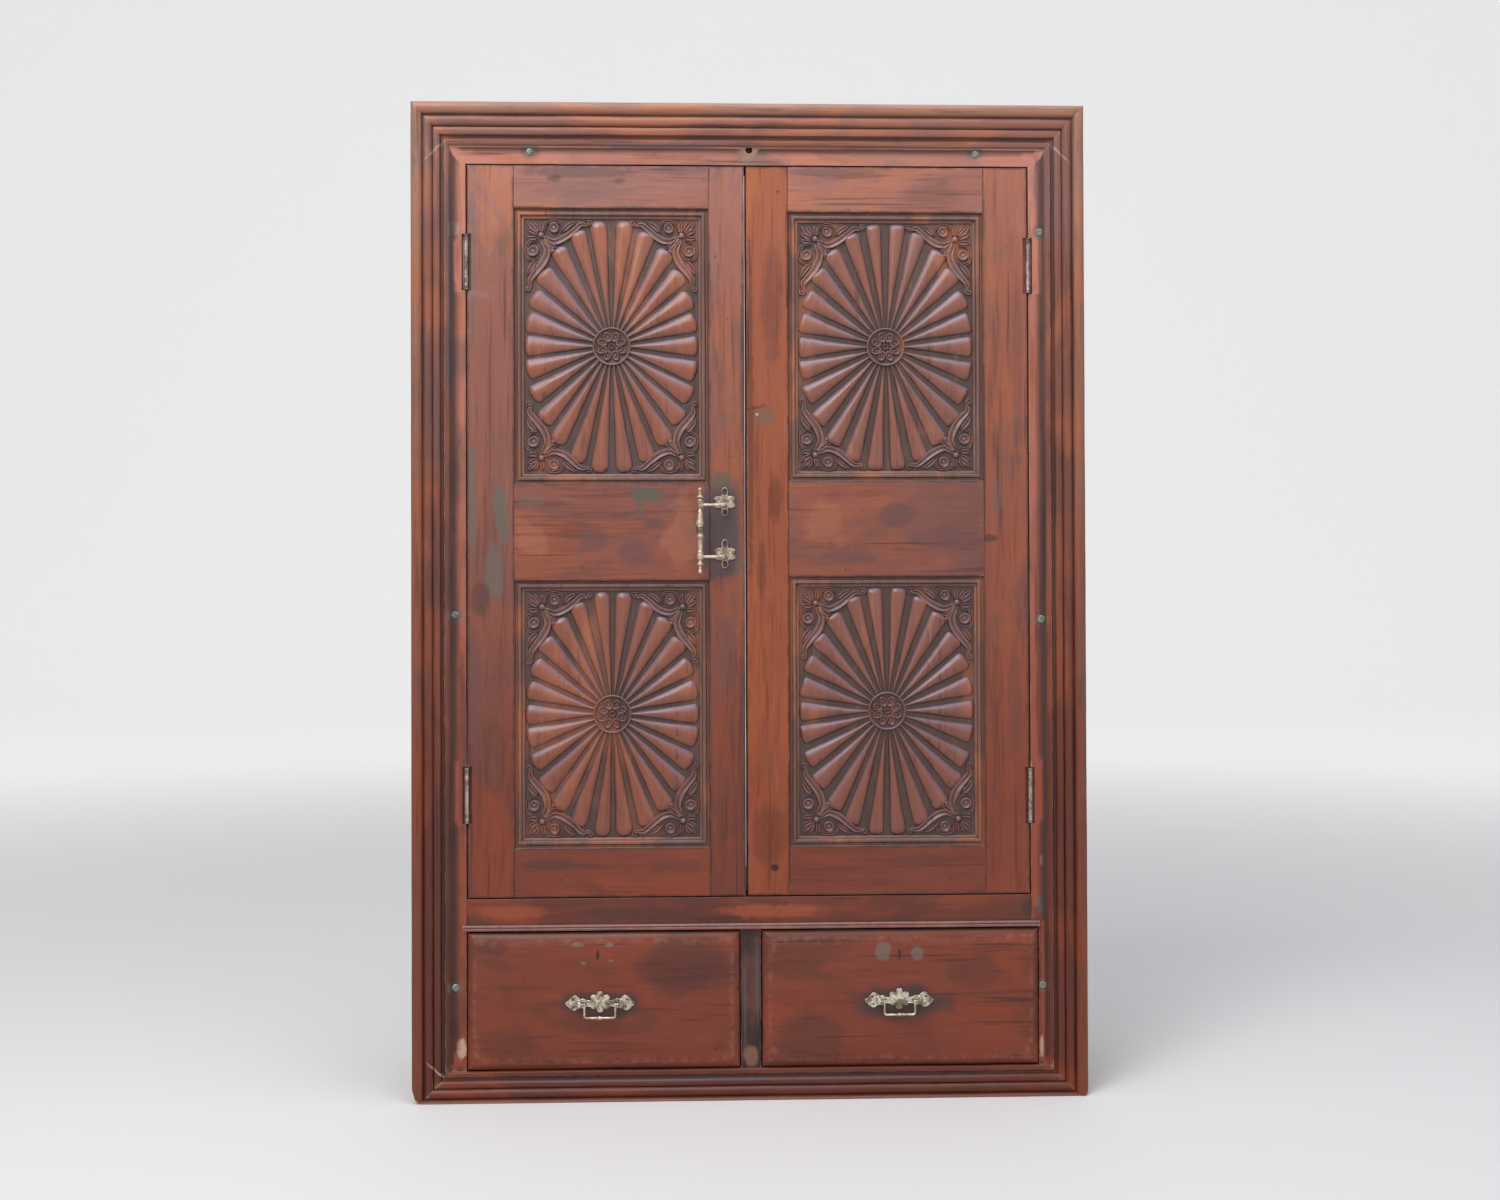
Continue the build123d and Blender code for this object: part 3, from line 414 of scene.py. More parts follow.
def wood(name, grain, main, palette, seed, box=None, marks=(), bands=(), carving=None, painted_sheen=1.0, stain=0.5,
         dust_and_sheen=0.6, rough=0.46, wear=0.5, shine=0.35, dust_sheen_facing=(0.18, 0.72)):
    """Old waxed wood: patches, fibre along the grain, smears, dusting with painted sheen on faces that look up, dirt at
    the joints, painted shade in creases, recesses and on faces that look down, a painted sheen by height, and local
    marks.

    bands holds (depth, colour) for the parts of a moulding in front of that depth. carving holds the
    middle of a sunburst and the colour of its petals. marks holds (colour, strength, then mark's values).
    """
    made, tree, shader, place = new_material(name)
    warm, cool, pale, dark, film, dust_and_sheen_tone, grime_and_shade = palette
    shift = Vector((seed * 1.31, seed * 0.77, seed * 2.13))

    def drawn(share, offset=0.0):
        """Coordinates drawn out along the grain."""
        scale = [share if axis == grain else 1.0 for axis in "xyz"]
        return stretched(tree, place, scale, shift + Vector((offset, offset, offset)))

    loose = drawn(1.0)
    _, depth, up = split(tree, place)
    tint = main
    for front, tone in bands:
        tint = blend(tree, steps(tree, depth, front, front - 0.0014), tint, tone)
    if carving:
        x, z, petal = carving
        out = add(tree, "ShaderNodeVectorMath", {0: place, 1: (x, 0.0, z)}, operation="SUBTRACT").outputs[0]
        out = add(tree, "ShaderNodeVectorMath", {0: out, 1: (1, 0, 1)}, operation="MULTIPLY").outputs[0]
        out = add(tree, "ShaderNodeVectorMath", {0: out}, operation="LENGTH").outputs["Value"]
        is_petal = add(tree, "ShaderNodeAttribute", attribute_name="petal").outputs["Fac"]
        crown = calc(tree, "MULTIPLY", is_petal, steps(tree, depth, 0.0106, 0.0074))
        crown = calc(tree, "MULTIPLY", crown, steps(tree, out, 0.036, 0.115, to=(0.1, 1.0)))
        tint = blend(tree, crown, tint, petal)
        # Painted shade: the lower flanks of the petals and the ground between them darken with depth
        sunk = calc(tree, "MULTIPLY", steps(tree, depth, 0.0070, 0.0108, to=(0, 0.85)), steps(tree, depth, 0.0150, 0.0130))
        tint = blend(tree, sunk, tint, darker(main, 0.28))

    tint = blend(tree, steps(tree, cloud(tree, drawn(0.45), 8.5, 3, 0.55, 0.8), 0.48, 0.64, to=(0, 0.6)), tint, warm)
    broad = cloud(tree, drawn(0.5, 3.7), 7.0, 4, 0.6, 1.0)
    tint = blend(tree, steps(tree, broad, 0.50, 0.68, to=(0, stain)), tint, cool)
    smear = cloud(tree, drawn(0.35, 7.9), 15.0, 5, 0.62, 1.4)
    tint = blend(tree, steps(tree, smear, 0.59, 0.69, to=(0, 0.8 * stain)), tint, film)

    fibre = cloud(tree, drawn(0.05), 260.0, 3, 0.6)
    streak = cloud(tree, drawn(0.06, 1.3), 60.0, 4, 0.62, 0.5)
    tone = calc(tree, "ADD", calc(tree, "MULTIPLY", streak, 0.6), calc(tree, "MULTIPLY", fibre, 0.4))
    tint = blend(tree, steps(tree, tone, 0.50, 0.34, to=(0, 0.42)), tint, dark)
    tint = blend(tree, steps(tree, tone, 0.54, 0.70, to=(0, 0.22)), tint, pale)
    crack = steps(tree, cloud(tree, drawn(0.025, 5.1), 110.0, 2, 0.5, 0.3), 0.64, 0.72)
    tint = blend(tree, calc(tree, "MULTIPLY", crack, 0.55), tint, dark)
    spots = cloud(tree, loose, 75.0, 3, 0.6)
    tint = blend(tree, steps(tree, spots, 0.30, 0.25, to=(0, 0.6)), tint, dark)
    tint = blend(tree, steps(tree, spots, 0.745, 0.78, to=(0, 0.6)), tint, pale)

    soot = cloud(tree, loose, 34.0, 5, 0.65)
    # Dusting with painted sheen: where the normal looks up, a lilac grey stands for real dust together with the
    # reflection of the sky in the wax
    facing = split(tree, add(tree, "ShaderNodeTexCoord").outputs["Normal"])[2]
    dust_and_sheen_mask = calc(tree, "MULTIPLY", steps(tree, facing, *dust_sheen_facing), steps(tree, soot, 0.34, 0.58, to=(0.4, 1)))
    tint = blend(tree, calc(tree, "MULTIPLY", dust_and_sheen_mask, dust_and_sheen), tint, dust_and_sheen_tone)

    # Painted sheen: the tone is multiplied by a ramp over height, so the upper boards carry a painted reflection and
    # the lower ones stay deep
    if painted_sheen:
        height = calc(tree, "ADD", up, calc(tree, "MULTIPLY", calc(tree, "SUBTRACT", broad, 0.5), 0.5))
        tones = ramp(tree, calc(tree, "MULTIPLY", height, 1 / PAINTED_SHEEN_HEIGHT), PAINTED_SHEEN_RAMP)
        tint = blend(tree, 1.0, tint, blend(tree, painted_sheen, (1, 1, 1, 1), tones), "MULTIPLY")

    for stain_colour, strength, *shape in marks:
        inside = mark(tree, place, *shape)
        tint = blend(tree, calc(tree, "MULTIPLY", inside, strength), tint, stain_colour)

    edge = add(tree, "ShaderNodeAttribute", attribute_name="wear").outputs["Fac"]
    chipped = steps(tree, cloud(tree, loose, 70.0, 3, 0.55), 0.40, 0.66, to=(0, wear))
    tint = blend(tree, calc(tree, "MULTIPLY", steps(tree, edge, 0.5, 1.0), chipped), tint, pale)
    # Creases darken, partly with grime and partly with painted shade
    dirt = calc(tree, "MULTIPLY", steps(tree, edge, -0.1, -0.8), 0.85)
    if box:
        ragged = calc(tree, "MULTIPLY", soot, 0.010)
        near = steps(tree, calc(tree, "SUBTRACT", edge_distance(tree, place, *box), ragged), 0.000, -0.006)
        dirt = calc(tree, "MAXIMUM", dirt, calc(tree, "MULTIPLY", near, 0.7))
    # Painted shade in the deepest recesses of the carving
    if carving:
        sunk = calc(tree, "ADD", depth, calc(tree, "MULTIPLY", calc(tree, "SUBTRACT", soot, 0.5), 0.004))
        dirt = calc(tree, "MAXIMUM", dirt, steps(tree, sunk, 0.0092, 0.0112, to=(0, 0.25)))
    # Painted shade: faces that look down are darkened
    dirt = calc(tree, "MAXIMUM", dirt, steps(tree, facing, -0.45, -0.95, to=(0, 0.5)))
    # Mix toward the dark colour: dirt at the joints and painted shade
    tint = blend(tree, dirt, tint, grime_and_shade)
    tree.links.new(tint, shader.inputs["Base Color"])

    dull = calc(tree, "ADD", steps(tree, broad, 0.3, 0.75, to=(rough - 0.08, rough + 0.12)), calc(tree, "MULTIPLY", dirt, 0.2))
    tree.links.new(calc(tree, "ADD", dull, calc(tree, "MULTIPLY", fibre, 0.08), clamp=True), shader.inputs["Roughness"])
    height = calc(tree, "ADD", calc(tree, "MULTIPLY", fibre, 0.5), calc(tree, "MULTIPLY", crack, -0.5))
    height = calc(tree, "ADD", height, calc(tree, "MULTIPLY", soot, 1.6))
    bump = add(tree, "ShaderNodeBump", {"Strength": 0.45, "Distance": 0.0006, "Height": height})
    tree.links.new(bump.outputs[0], shader.inputs["Normal"])
    shader.inputs["Specular IOR Level"].default_value = shine
    shader.inputs["Coat Weight"].default_value = 0.17 * shine
    shader.inputs["Coat Roughness"].default_value = 0.3
    return made


def metal(name, main, bright, dirt, rough, metallic, seed, film=0.5, hollow=None, span=None):
    """Old metal: bright where rubbed, dark film and spots elsewhere.

    hollow holds two depths in Y over which dirt fills in; span holds two heights between which it is dark.
    """
    made, tree, shader, place = new_material(name)
    loose = stretched(tree, place, (1, 1, 1), (seed, -seed, seed * 0.5))
    broad = cloud(tree, loose, 70.0, 4, 0.6)
    fine = cloud(tree, loose, 420.0, 3, 0.6)
    tint = blend(tree, steps(tree, broad, 0.38, 0.60), main, bright)
    dark = steps(tree, fine, 0.48, 0.34, to=(0, film))
    if hollow:
        filled = calc(tree, "MULTIPLY", calc(tree, "SUBTRACT", broad, 0.5), 0.002)
        filled = calc(tree, "ADD", split(tree, place)[1], filled)
        dark = calc(tree, "MAXIMUM", dark, steps(tree, filled, *hollow, to=(0, 0.85)))
    if span:
        up = split(tree, place)[2]
        inside = calc(tree, "MULTIPLY", steps(tree, up, span[0], span[0] + 0.001), steps(tree, up, span[1], span[1] - 0.001))
        dark = calc(tree, "MAXIMUM", dark, calc(tree, "MULTIPLY", inside, 0.75))
    tint = blend(tree, dark, tint, dirt)
    tree.links.new(tint, shader.inputs["Base Color"])
    tree.links.new(steps(tree, broad, 0.35, 0.65, to=(rough + 0.12, rough - 0.08)), shader.inputs["Roughness"])
    shader.inputs["Metallic"].default_value = metallic
    bump = add(tree, "ShaderNodeBump", {"Strength": 0.5, "Distance": 0.0003, "Height": fine})
    tree.links.new(bump.outputs[0], shader.inputs["Normal"])
    return made


# Geometry Nodes

def geometry_tree(name, inputs):
    """Empty Geometry Nodes tree with a geometry output and the named inputs; returns tree, group input."""
    tree = bpy.data.node_groups.new(name, "GeometryNodeTree")
    tree.interface.new_socket("Geometry", in_out="OUTPUT", socket_type="NodeSocketGeometry")
    tree.interface.new_socket("Geometry", in_out="INPUT", socket_type="NodeSocketGeometry")
    for label, kind, value in inputs:
        made = tree.interface.new_socket(label, in_out="INPUT", socket_type=kind)
        if value is not None:
            made.default_value = value
    return tree, tree.nodes.new("NodeGroupInput")


def grown(name, tree, source, values):
    """Run a Geometry Nodes tree on a carrier object and return the result as a plain mesh."""
    carrier = bpy.data.objects.new(name + "_carrier", source)
    bpy.context.scene.collection.objects.link(carrier)
    modifier = carrier.modifiers.new("grow", "NODES")
    modifier.node_group = tree
    for item in tree.interface.items_tree:
        if item.item_type == "SOCKET" and item.in_out == "INPUT" and item.name in values:
            modifier[item.identifier] = values[item.name]
    bpy.context.view_layer.update()
    evaluated = carrier.evaluated_get(bpy.context.evaluated_depsgraph_get())
    mesh = bpy.data.meshes.new_from_object(evaluated)
    mesh.name = name
    carrier.modifiers.remove(modifier)
    bpy.data.objects.remove(carrier)
    return mesh


def ray_tree():
    """Rays round a centre: closer together near the upright, with their tips on an ellipse."""
    tree, given = geometry_tree("Sunburst Rays", [
        ("Petal", "NodeSocketObject", None),
        ("Material", "NodeSocketMaterial", None),
        ("Count", "NodeSocketInt", 26),
        ("Squeeze", "NodeSocketFloat", 0.09),
        ("Half Width", "NodeSocketFloat", 0.15),
        ("Half Height", "NodeSocketFloat", 0.2),
        ("Root", "NodeSocketFloat", 0.03),
        ("Share", "NodeSocketFloat", 0.8),
        ("Upright Loss", "NodeSocketFloat", 0.22),
        ("Crown", "NodeSocketFloat", 0.007),
        ("Centre", "NodeSocketVector", None),
        ("Unevenness", "NodeSocketFloat", 0.0004),
        ("Seed", "NodeSocketInt", 1),
    ])
    get = given.outputs
    line = add(tree, "GeometryNodeMeshLine", {"Count": get["Count"]})
    index = add(tree, "GeometryNodeInputIndex").outputs[0]
    step = calc(tree, "DIVIDE", 2 * math.pi, get["Count"])
    turn = calc(tree, "MULTIPLY", calc(tree, "ADD", index, 0.5), step)
    double = calc(tree, "MULTIPLY", turn, 2.0)
    shift = calc(tree, "MULTIPLY", get["Squeeze"], calc(tree, "SINE", double))
    jitter = add(tree, "FunctionNodeRandomValue", {2: -0.012, 3: 0.012, "Seed": get["Seed"]}, data_type="FLOAT")
    angle = calc(tree, "ADD", calc(tree, "SUBTRACT", turn, shift), jitter.outputs[1])
    sine = calc(tree, "SINE", angle)
    cosine = calc(tree, "COSINE", angle)
    across = calc(tree, "POWER", calc(tree, "DIVIDE", sine, get["Half Width"]), 2.0)
    up = calc(tree, "POWER", calc(tree, "DIVIDE", cosine, get["Half Height"]), 2.0)
    reach = calc(tree, "DIVIDE", 1.0, calc(tree, "SQRT", calc(tree, "ADD", across, up)))
    squeeze = calc(tree, "MULTIPLY", calc(tree, "MULTIPLY", get["Squeeze"], 2.0), calc(tree, "COSINE", double))
    half = calc(tree, "MULTIPLY", calc(tree, "SUBTRACT", 1.0, squeeze), calc(tree, "MULTIPLY", step, 0.5))
    loss = calc(tree, "MULTIPLY", get["Upright Loss"], calc(tree, "POWER", calc(tree, "ABSOLUTE", cosine), 2.0))
    share = calc(tree, "MULTIPLY", get["Share"], calc(tree, "SUBTRACT", 1.0, loss))
    slope = calc(tree, "MULTIPLY", share, calc(tree, "TANGENT", half))
    tip = calc(tree, "DIVIDE", calc(tree, "MULTIPLY", reach, slope), calc(tree, "ADD", 1.0, slope))
    place = add(tree, "ShaderNodeCombineXYZ", {0: calc(tree, "MULTIPLY", sine, get["Root"]), 2: calc(tree, "MULTIPLY", cosine, get["Root"])})
    moved = add(tree, "ShaderNodeVectorMath", {0: place.outputs[0], 1: get["Centre"]}, operation="ADD")
    points = add(tree, "GeometryNodeSetPosition", {"Geometry": line.outputs[0], "Position": moved.outputs[0]})
    lean = calc(tree, "SUBTRACT", angle, math.pi / 2)
    spin = add(tree, "ShaderNodeCombineXYZ", {1: lean})
    swell = add(tree, "FunctionNodeRandomValue", {2: 0.93, 3: 1.05, "Seed": calc(tree, "ADD", get["Seed"], 7)}, data_type="FLOAT")
    size = add(tree, "ShaderNodeCombineXYZ", {
        0: calc(tree, "SUBTRACT", reach, get["Root"]),
        1: calc(tree, "MULTIPLY", get["Crown"], 1.0),
        2: calc(tree, "MULTIPLY", tip, swell.outputs[1]),
    })
    shape = add(tree, "GeometryNodeObjectInfo", {"Object": get["Petal"]})
    copies = add(tree, "GeometryNodeInstanceOnPoints", {
        "Points": points.outputs[0],
        "Instance": shape.outputs["Geometry"],
        "Rotation": spin.outputs[0],
        "Scale": size.outputs[0],
    })
    real = add(tree, "GeometryNodeRealizeInstances", {0: copies.outputs[0]})
    where = add(tree, "GeometryNodeInputPosition").outputs[0]
    rough = add(tree, "ShaderNodeTexNoise", {"Vector": where, "Scale": 55.0, "Detail": 2.0})
    centred = add(tree, "ShaderNodeVectorMath", {0: rough.outputs["Color"], 1: (0.5, 0.5, 0.5)}, operation="SUBTRACT")
    offset = add(tree, "ShaderNodeVectorMath", {0: centred.outputs[0], "Scale": get["Unevenness"]}, operation="SCALE")
    uneven = add(tree, "GeometryNodeSetPosition", {"Geometry": real.outputs[0], "Offset": offset.outputs[0]})
    finish = add(tree, "GeometryNodeSetMaterial", {"Geometry": uneven.outputs[0], "Material": get["Material"]})
    out = tree.nodes.new("NodeGroupOutput")
    tree.links.new(finish.outputs[0], out.inputs[0])
    return tree


def petal_shape(root_share, tip_share, tip_power, crown_power, straight=14, turns=7, half_columns=6):
    """Unit petal along X: half width 1 in Z at its shoulder, height 1 toward -Y, round at its end.

    root_share is the width at the root, tip_share the part of the length in the round end.
    """
    levels = []
    for column in range(half_columns):
        share = math.sin(math.pi / 2 * column / (half_columns - 1))
        height = max(1 - share ** crown_power, 0.0) ** 0.8
        levels.append((share, height))
    levels.append((1.0, -0.35))
    centre = 1 - tip_share

    def rise(along):
        return 0.62 + 0.38 * min(along / 0.55, 1.0) ** 0.8

    points = []
    faces = []
    for sign in (-1, 1):
        base = len(points)
        for row in range(straight + 1):
            along = centre * row / straight
            half = root_share + (1 - root_share) * (row / straight) ** 1.05
            for share, height in levels:
                lift = height * rise(along) if height > 0 else height
                points.append(Vector((along, -lift, sign * half * share)))
        for row in range(1, turns + 1):
            way = math.pi / 2 * row / turns
            forward = abs(math.sin(way)) ** (2 / tip_power)
            aside = abs(math.cos(way)) ** (2 / tip_power)
            for share, height in levels:
                points.append(Vector((centre + tip_share * share * forward, -height, sign * share * aside)))
        for face in grid_faces(straight + 1 + turns, len(levels)):
            faces.append(tuple(base + index for index in face))
    mesh = mesh_of("petal", points, faces, 1e-5)
    work = bmesh.new()
    work.from_mesh(mesh)
    bmesh.ops.holes_fill(work, edges=[e for e in work.edges if e.is_boundary], sides=0)
    bmesh.ops.recalc_face_normals(work, faces=work.faces)
    work.to_mesh(mesh)
    work.free()
    return mesh


# Carved ornament in mesh code

def ridge(path, widths, height, floor, sides=5):
    """Raised tendril along a path on the ground (X, Z), half widths per point, with a rounded crown."""
    points = []
    count = len(path)
    for index, here in enumerate(path):
        before = path[max(index - 1, 0)]
        after = path[min(index + 1, count - 1)]
        along = (after - before).normalized()
        across = Vector((-along.y, along.x))
        width = widths[index]
        rise = height * min(1.0, 0.35 + width / 0.003)
        for step in range(2 * sides + 1):
            way = math.pi * step / (2 * sides)
            aside = -math.cos(way)
            lift = math.sin(way) ** 0.8 * rise
            spot = here + across * (aside * width)
            points.append(Vector((spot.x, floor - lift, spot.y)))
        foot = here + across * width
        points.append(Vector((foot.x, floor + 0.0008, foot.y)))
        foot = here - across * width
        points.append(Vector((foot.x, floor + 0.0008, foot.y)))
    columns = 2 * sides + 3
    faces = grid_faces(count, columns, wrap=True)
    faces.append(tuple(reversed(range(columns))))
    faces.append(tuple(range((count - 1) * columns, count * columns)))
    return points, faces


def leaf_form(path, width, height, floor, gutter=0.5, columns=4, veins=5.0):
    """Carved leaf along a path on the ground: raised rims, a hollow middle and cross veins."""
    points = []
    rows = len(path)
    for index, here in enumerate(path):
        share = index / (rows - 1)
        along = (path[min(index + 1, rows - 1)] - path[max(index - 1, 0)]).normalized()
        across = Vector((-along.y, along.x))
        swell = math.sin(math.pi * min(0.04 + 0.93 * share ** 0.8, 1.0))
        half = width / 2 * swell ** 0.7
        for column in range(-columns, columns + 1):
            v = column / columns
            body = max(1 - abs(v) ** 3.5, 0.0) ** 0.5
            hollow = 1 - gutter * math.exp(-(v / 0.42) ** 2) * min(1.0, 2.2 * swell)
            vein = 1 + 0.09 * math.cos(2 * math.pi * veins * share - 2.5 * abs(v))
            lift = height * body * hollow * vein * min(1.0, 0.35 + 1.2 * swell)
            spot = here + across * (half * v)
            points.append(Vector((spot.x, floor - lift, spot.y)))
        for v in (1, -1):
            spot = here + across * (half * v)
            points.append(Vector((spot.x, floor + 0.0008, spot.y)))
    wide = 2 * columns + 3
    faces = grid_faces(rows, wide, wrap=True)
    faces.append(tuple(reversed(range(wide))))
    faces.append(tuple(range((rows - 1) * wide, rows * wide)))
    return points, faces


def cup_form(at, radius_x, radius_z, height, floor, turn=0.0, lobes=0, sides=24):
    """Hollow flower or petal: raised rim round a sunk middle with a small bead."""
    profile = [
        (1.0, -0.2), (1.0, 0.45), (0.93, 0.85), (0.82, 1.0), (0.70, 0.86), (0.58, 0.45), (0.44, 0.28),
        (0.30, 0.34), (0.18, 0.52), (0.004, 0.56),
    ]
    points, faces = lathe([(r, h * height) for r, h in profile], sides, Matrix.Identity(4))
    placed = []
    for point in points:
        way = math.atan2(point.y, point.x)
        swell = 1 + 0.07 * math.cos(lobes * way) if lobes else 1.0
        x, z = point.x * radius_x * swell, point.y * radius_z * swell
        c, s = math.cos(turn), math.sin(turn)
        placed.append(Vector((at.x + x * c - z * s, floor - point.z, at.y + x * s + z * c)))
    return placed, faces


def curve_path(points, count=16):
    """Smooth run through a few (X, Z) points."""
    spots = [Vector(p) for p in points]
    spots = [spots[0] * 2 - spots[1]] + spots + [spots[-1] * 2 - spots[-2]]
    runs = len(spots) - 3
    path = []
    for step in range(count + 1):
        place = step / count * runs
        run = min(int(place), runs - 1)
        t = place - run
        a, b, c, d = spots[run:run + 4]
        path.append(0.5 * ((2 * b) + (c - a) * t + (2 * a - 5 * b + 4 * c - d) * t * t + (3 * b - a - 3 * c + d) * t ** 3))
    return path


# One corner spray, in metres from the corner of the carved field: (width, points as (along an edge, away from it))
SPRAY_ARM = (
    (0.0150, ((0.034, 0.031), (0.052, 0.040), (0.071, 0.034), (0.087, 0.021), (0.101, 0.010), (0.115, 0.013))),
    (0.0066, ((0.036, 0.025), (0.038, 0.010), (0.050, 0.0040), (0.063, 0.0060), (0.0685, 0.015), (0.064, 0.0245))),
    (0.0105, ((0.069, 0.022), (0.079, 0.012), (0.092, 0.0055))),
    (0.0085, ((0.037, 0.034), (0.050, 0.048), (0.060, 0.051))),
    (0.0080, ((0.110, 0.013), (0.117, 0.0065), (0.108, 0.0045))),
    (0.0090, ((0.031, 0.024), (0.032, 0.014), (0.030, 0.0045))),
    (0.0092, ((0.026, 0.024), (0.021, 0.014), (0.016, 0.0050))),
)
SPRAY_FAN = ((0.0100, ((0.025, 0.025), (0.015, 0.015), (0.005, 0.006))),)
SPRAY_BUD = (0.0026, ((0.035, 0.036), (0.042, 0.046), (0.049, 0.055)))
SPRAY_BOSSES = ((0.0300, 0.0285, 0.0056), (0.0505, 0.0570, 0.0036), (0.1130, 0.0085, 0.0030))
SPRAY_ROUNDELS = ((0.0525, 0.0160, 0.0100), (0.0160, 0.0570, 0.0106))


def spray_forms(corner, to_x, to_z, floor, seed):
    """Leaves, curls, bud and bosses of one corner of the carved field."""
    def place(across, along):
        stray = noise.noise_vector(Vector((across * 60, along * 60, seed))) * 0.0016
        return Vector((corner.x - to_x * (across + stray.x), corner.y - to_z * (along + stray.y)))

    forms = []
    down = [(width * 1.12, [(away, along * 1.08) for along, away in points]) for width, points in SPRAY_ARM]
    for number, (width, points) in enumerate((*SPRAY_ARM, *down, *SPRAY_FAN)):
        path = curve_path([place(*p) for p in points], 18 if len(points) > 3 else 9)
        forms.append(leaf_form(path, width, 0.0064 - 0.0003 * (number % 3), floor, 0.7, veins=2.0 + 0.5 * len(points)))
    width, points = SPRAY_BUD
    forms.append(ridge(curve_path([place(*p) for p in points], 8), [width * (1 - 0.06 * i) for i in range(9)], 0.0056, floor))
    for across, along, radius in SPRAY_BOSSES:
        forms.append(lathe_boss(place(across, along), radius, 0.0060, floor))
    for across, along, radius in SPRAY_ROUNDELS:
        forms.append(cup_form(place(across, along), radius, radius * 0.92, 0.0056, floor, across * 40))
    return forms


def lathe_boss(at, radius, height, floor, sides=16):
    """Small domed boss on the ground."""
    profile = [(radius, -0.0008)]
    for step in range(7):
        way = math.pi / 2 * step / 6
        profile.append((max(radius * math.cos(way), 0.0001), height * math.sin(way)))
    return lathe(profile, sides, axis_matrix((at.x, floor, at.y), (0, -1, 0)))


def ground_board(low, high, front, seed, step=0.0065):
    """Panel board with a lightly tooled front face."""
    wide = max(int((high.x - low.x) / step), 4)
    tall = max(int((high.z - low.z) / step), 4)
    points = []
    for row in range(tall + 1):
        for column in range(wide + 1):
            x = low.x + (high.x - low.x) * column / wide
            z = low.z + (high.z - low.z) * row / tall
            dent = noise.noise(Vector((x * 70, z * 70, seed))) * 0.0005
            points.append(Vector((x, front + dent, z)))
    faces = grid_faces(tall + 1, wide + 1)
    rim = list(range(wide + 1)) + [(row + 1) * (wide + 1) - 1 for row in range(1, tall + 1)]
    rim += [tall * (wide + 1) + column for column in range(wide - 1, -1, -1)]
    rim += [row * (wide + 1) for row in range(tall - 1, 0, -1)]
    base = len(points)
    for index in rim:
        points.append(Vector((points[index].x, high.y, points[index].z)))
    for index in range(len(rim)):
        after = (index + 1) % len(rim)
        faces.append((rim[index], rim[after], base + after, base + index))
    faces.append(tuple(range(base, base + len(rim))))
    return points, faces


def rosette_forms(centre, floor, ring):
    """Raised ring round a flower of hollow petals."""
    profile = [
        (1.0, -0.0006), (1.0, 0.0040), (0.985, 0.0056), (0.955, 0.0062), (0.925, 0.0056), (0.90, 0.0036),
        (0.87, 0.0012), (0.80, 0.0006), (0.002, 0.0006),
    ]
    spin = axis_matrix((centre.x, floor, centre.y), (0, -1, 0))
    forms = [lathe([(r * ring, h) for r, h in profile], 56, spin)]
    for index in range(8):
        way = math.pi / 8 + index * math.pi / 4
        at = centre + Vector((math.cos(way), math.sin(way))) * (ring * 0.52)
        forms.append(cup_form(at, ring * 0.29, ring * 0.195, 0.0058, floor, way, sides=18))
    forms.append(cup_form(centre, ring * 0.16, ring * 0.16, 0.0060, floor, sides=16))
    return forms


def checked(condition, message):
    if not condition:
        raise RuntimeError(message)


# Operators: one for each group of like pieces

class DoorOperator(bpy.types.Operator):
    """Shared settings of the operators that make the pieces."""
    bl_options = {"REGISTER", "UNDO"}

    @property
    def tones(self):
        return bpy.context.scene.door_colours

    @property
    def sizes(self):
        return bpy.context.scene.door_carving

    def wood(self, name, grain, main, seed, **more):
        """Old waxed wood with this scene's colours."""
        tones = self.tones
        palette = more.pop("palette", None)
        palette = palette or (tones.warm, tones.cool, tones.pale, tones.dark, tones.film, tones.dust_and_sheen, tones.grime_and_shade)
        return wood(name, grain, main, palette, seed, **more)


def darker(value, share):
    """A colour brought down by a share."""
    return (value[0] * share, value[1] * share, value[2] * share, 1.0)


def toward(value, other, share):
    """A colour moved toward another."""
    return tuple(a + (b - a) * share for a, b in zip(value, other))


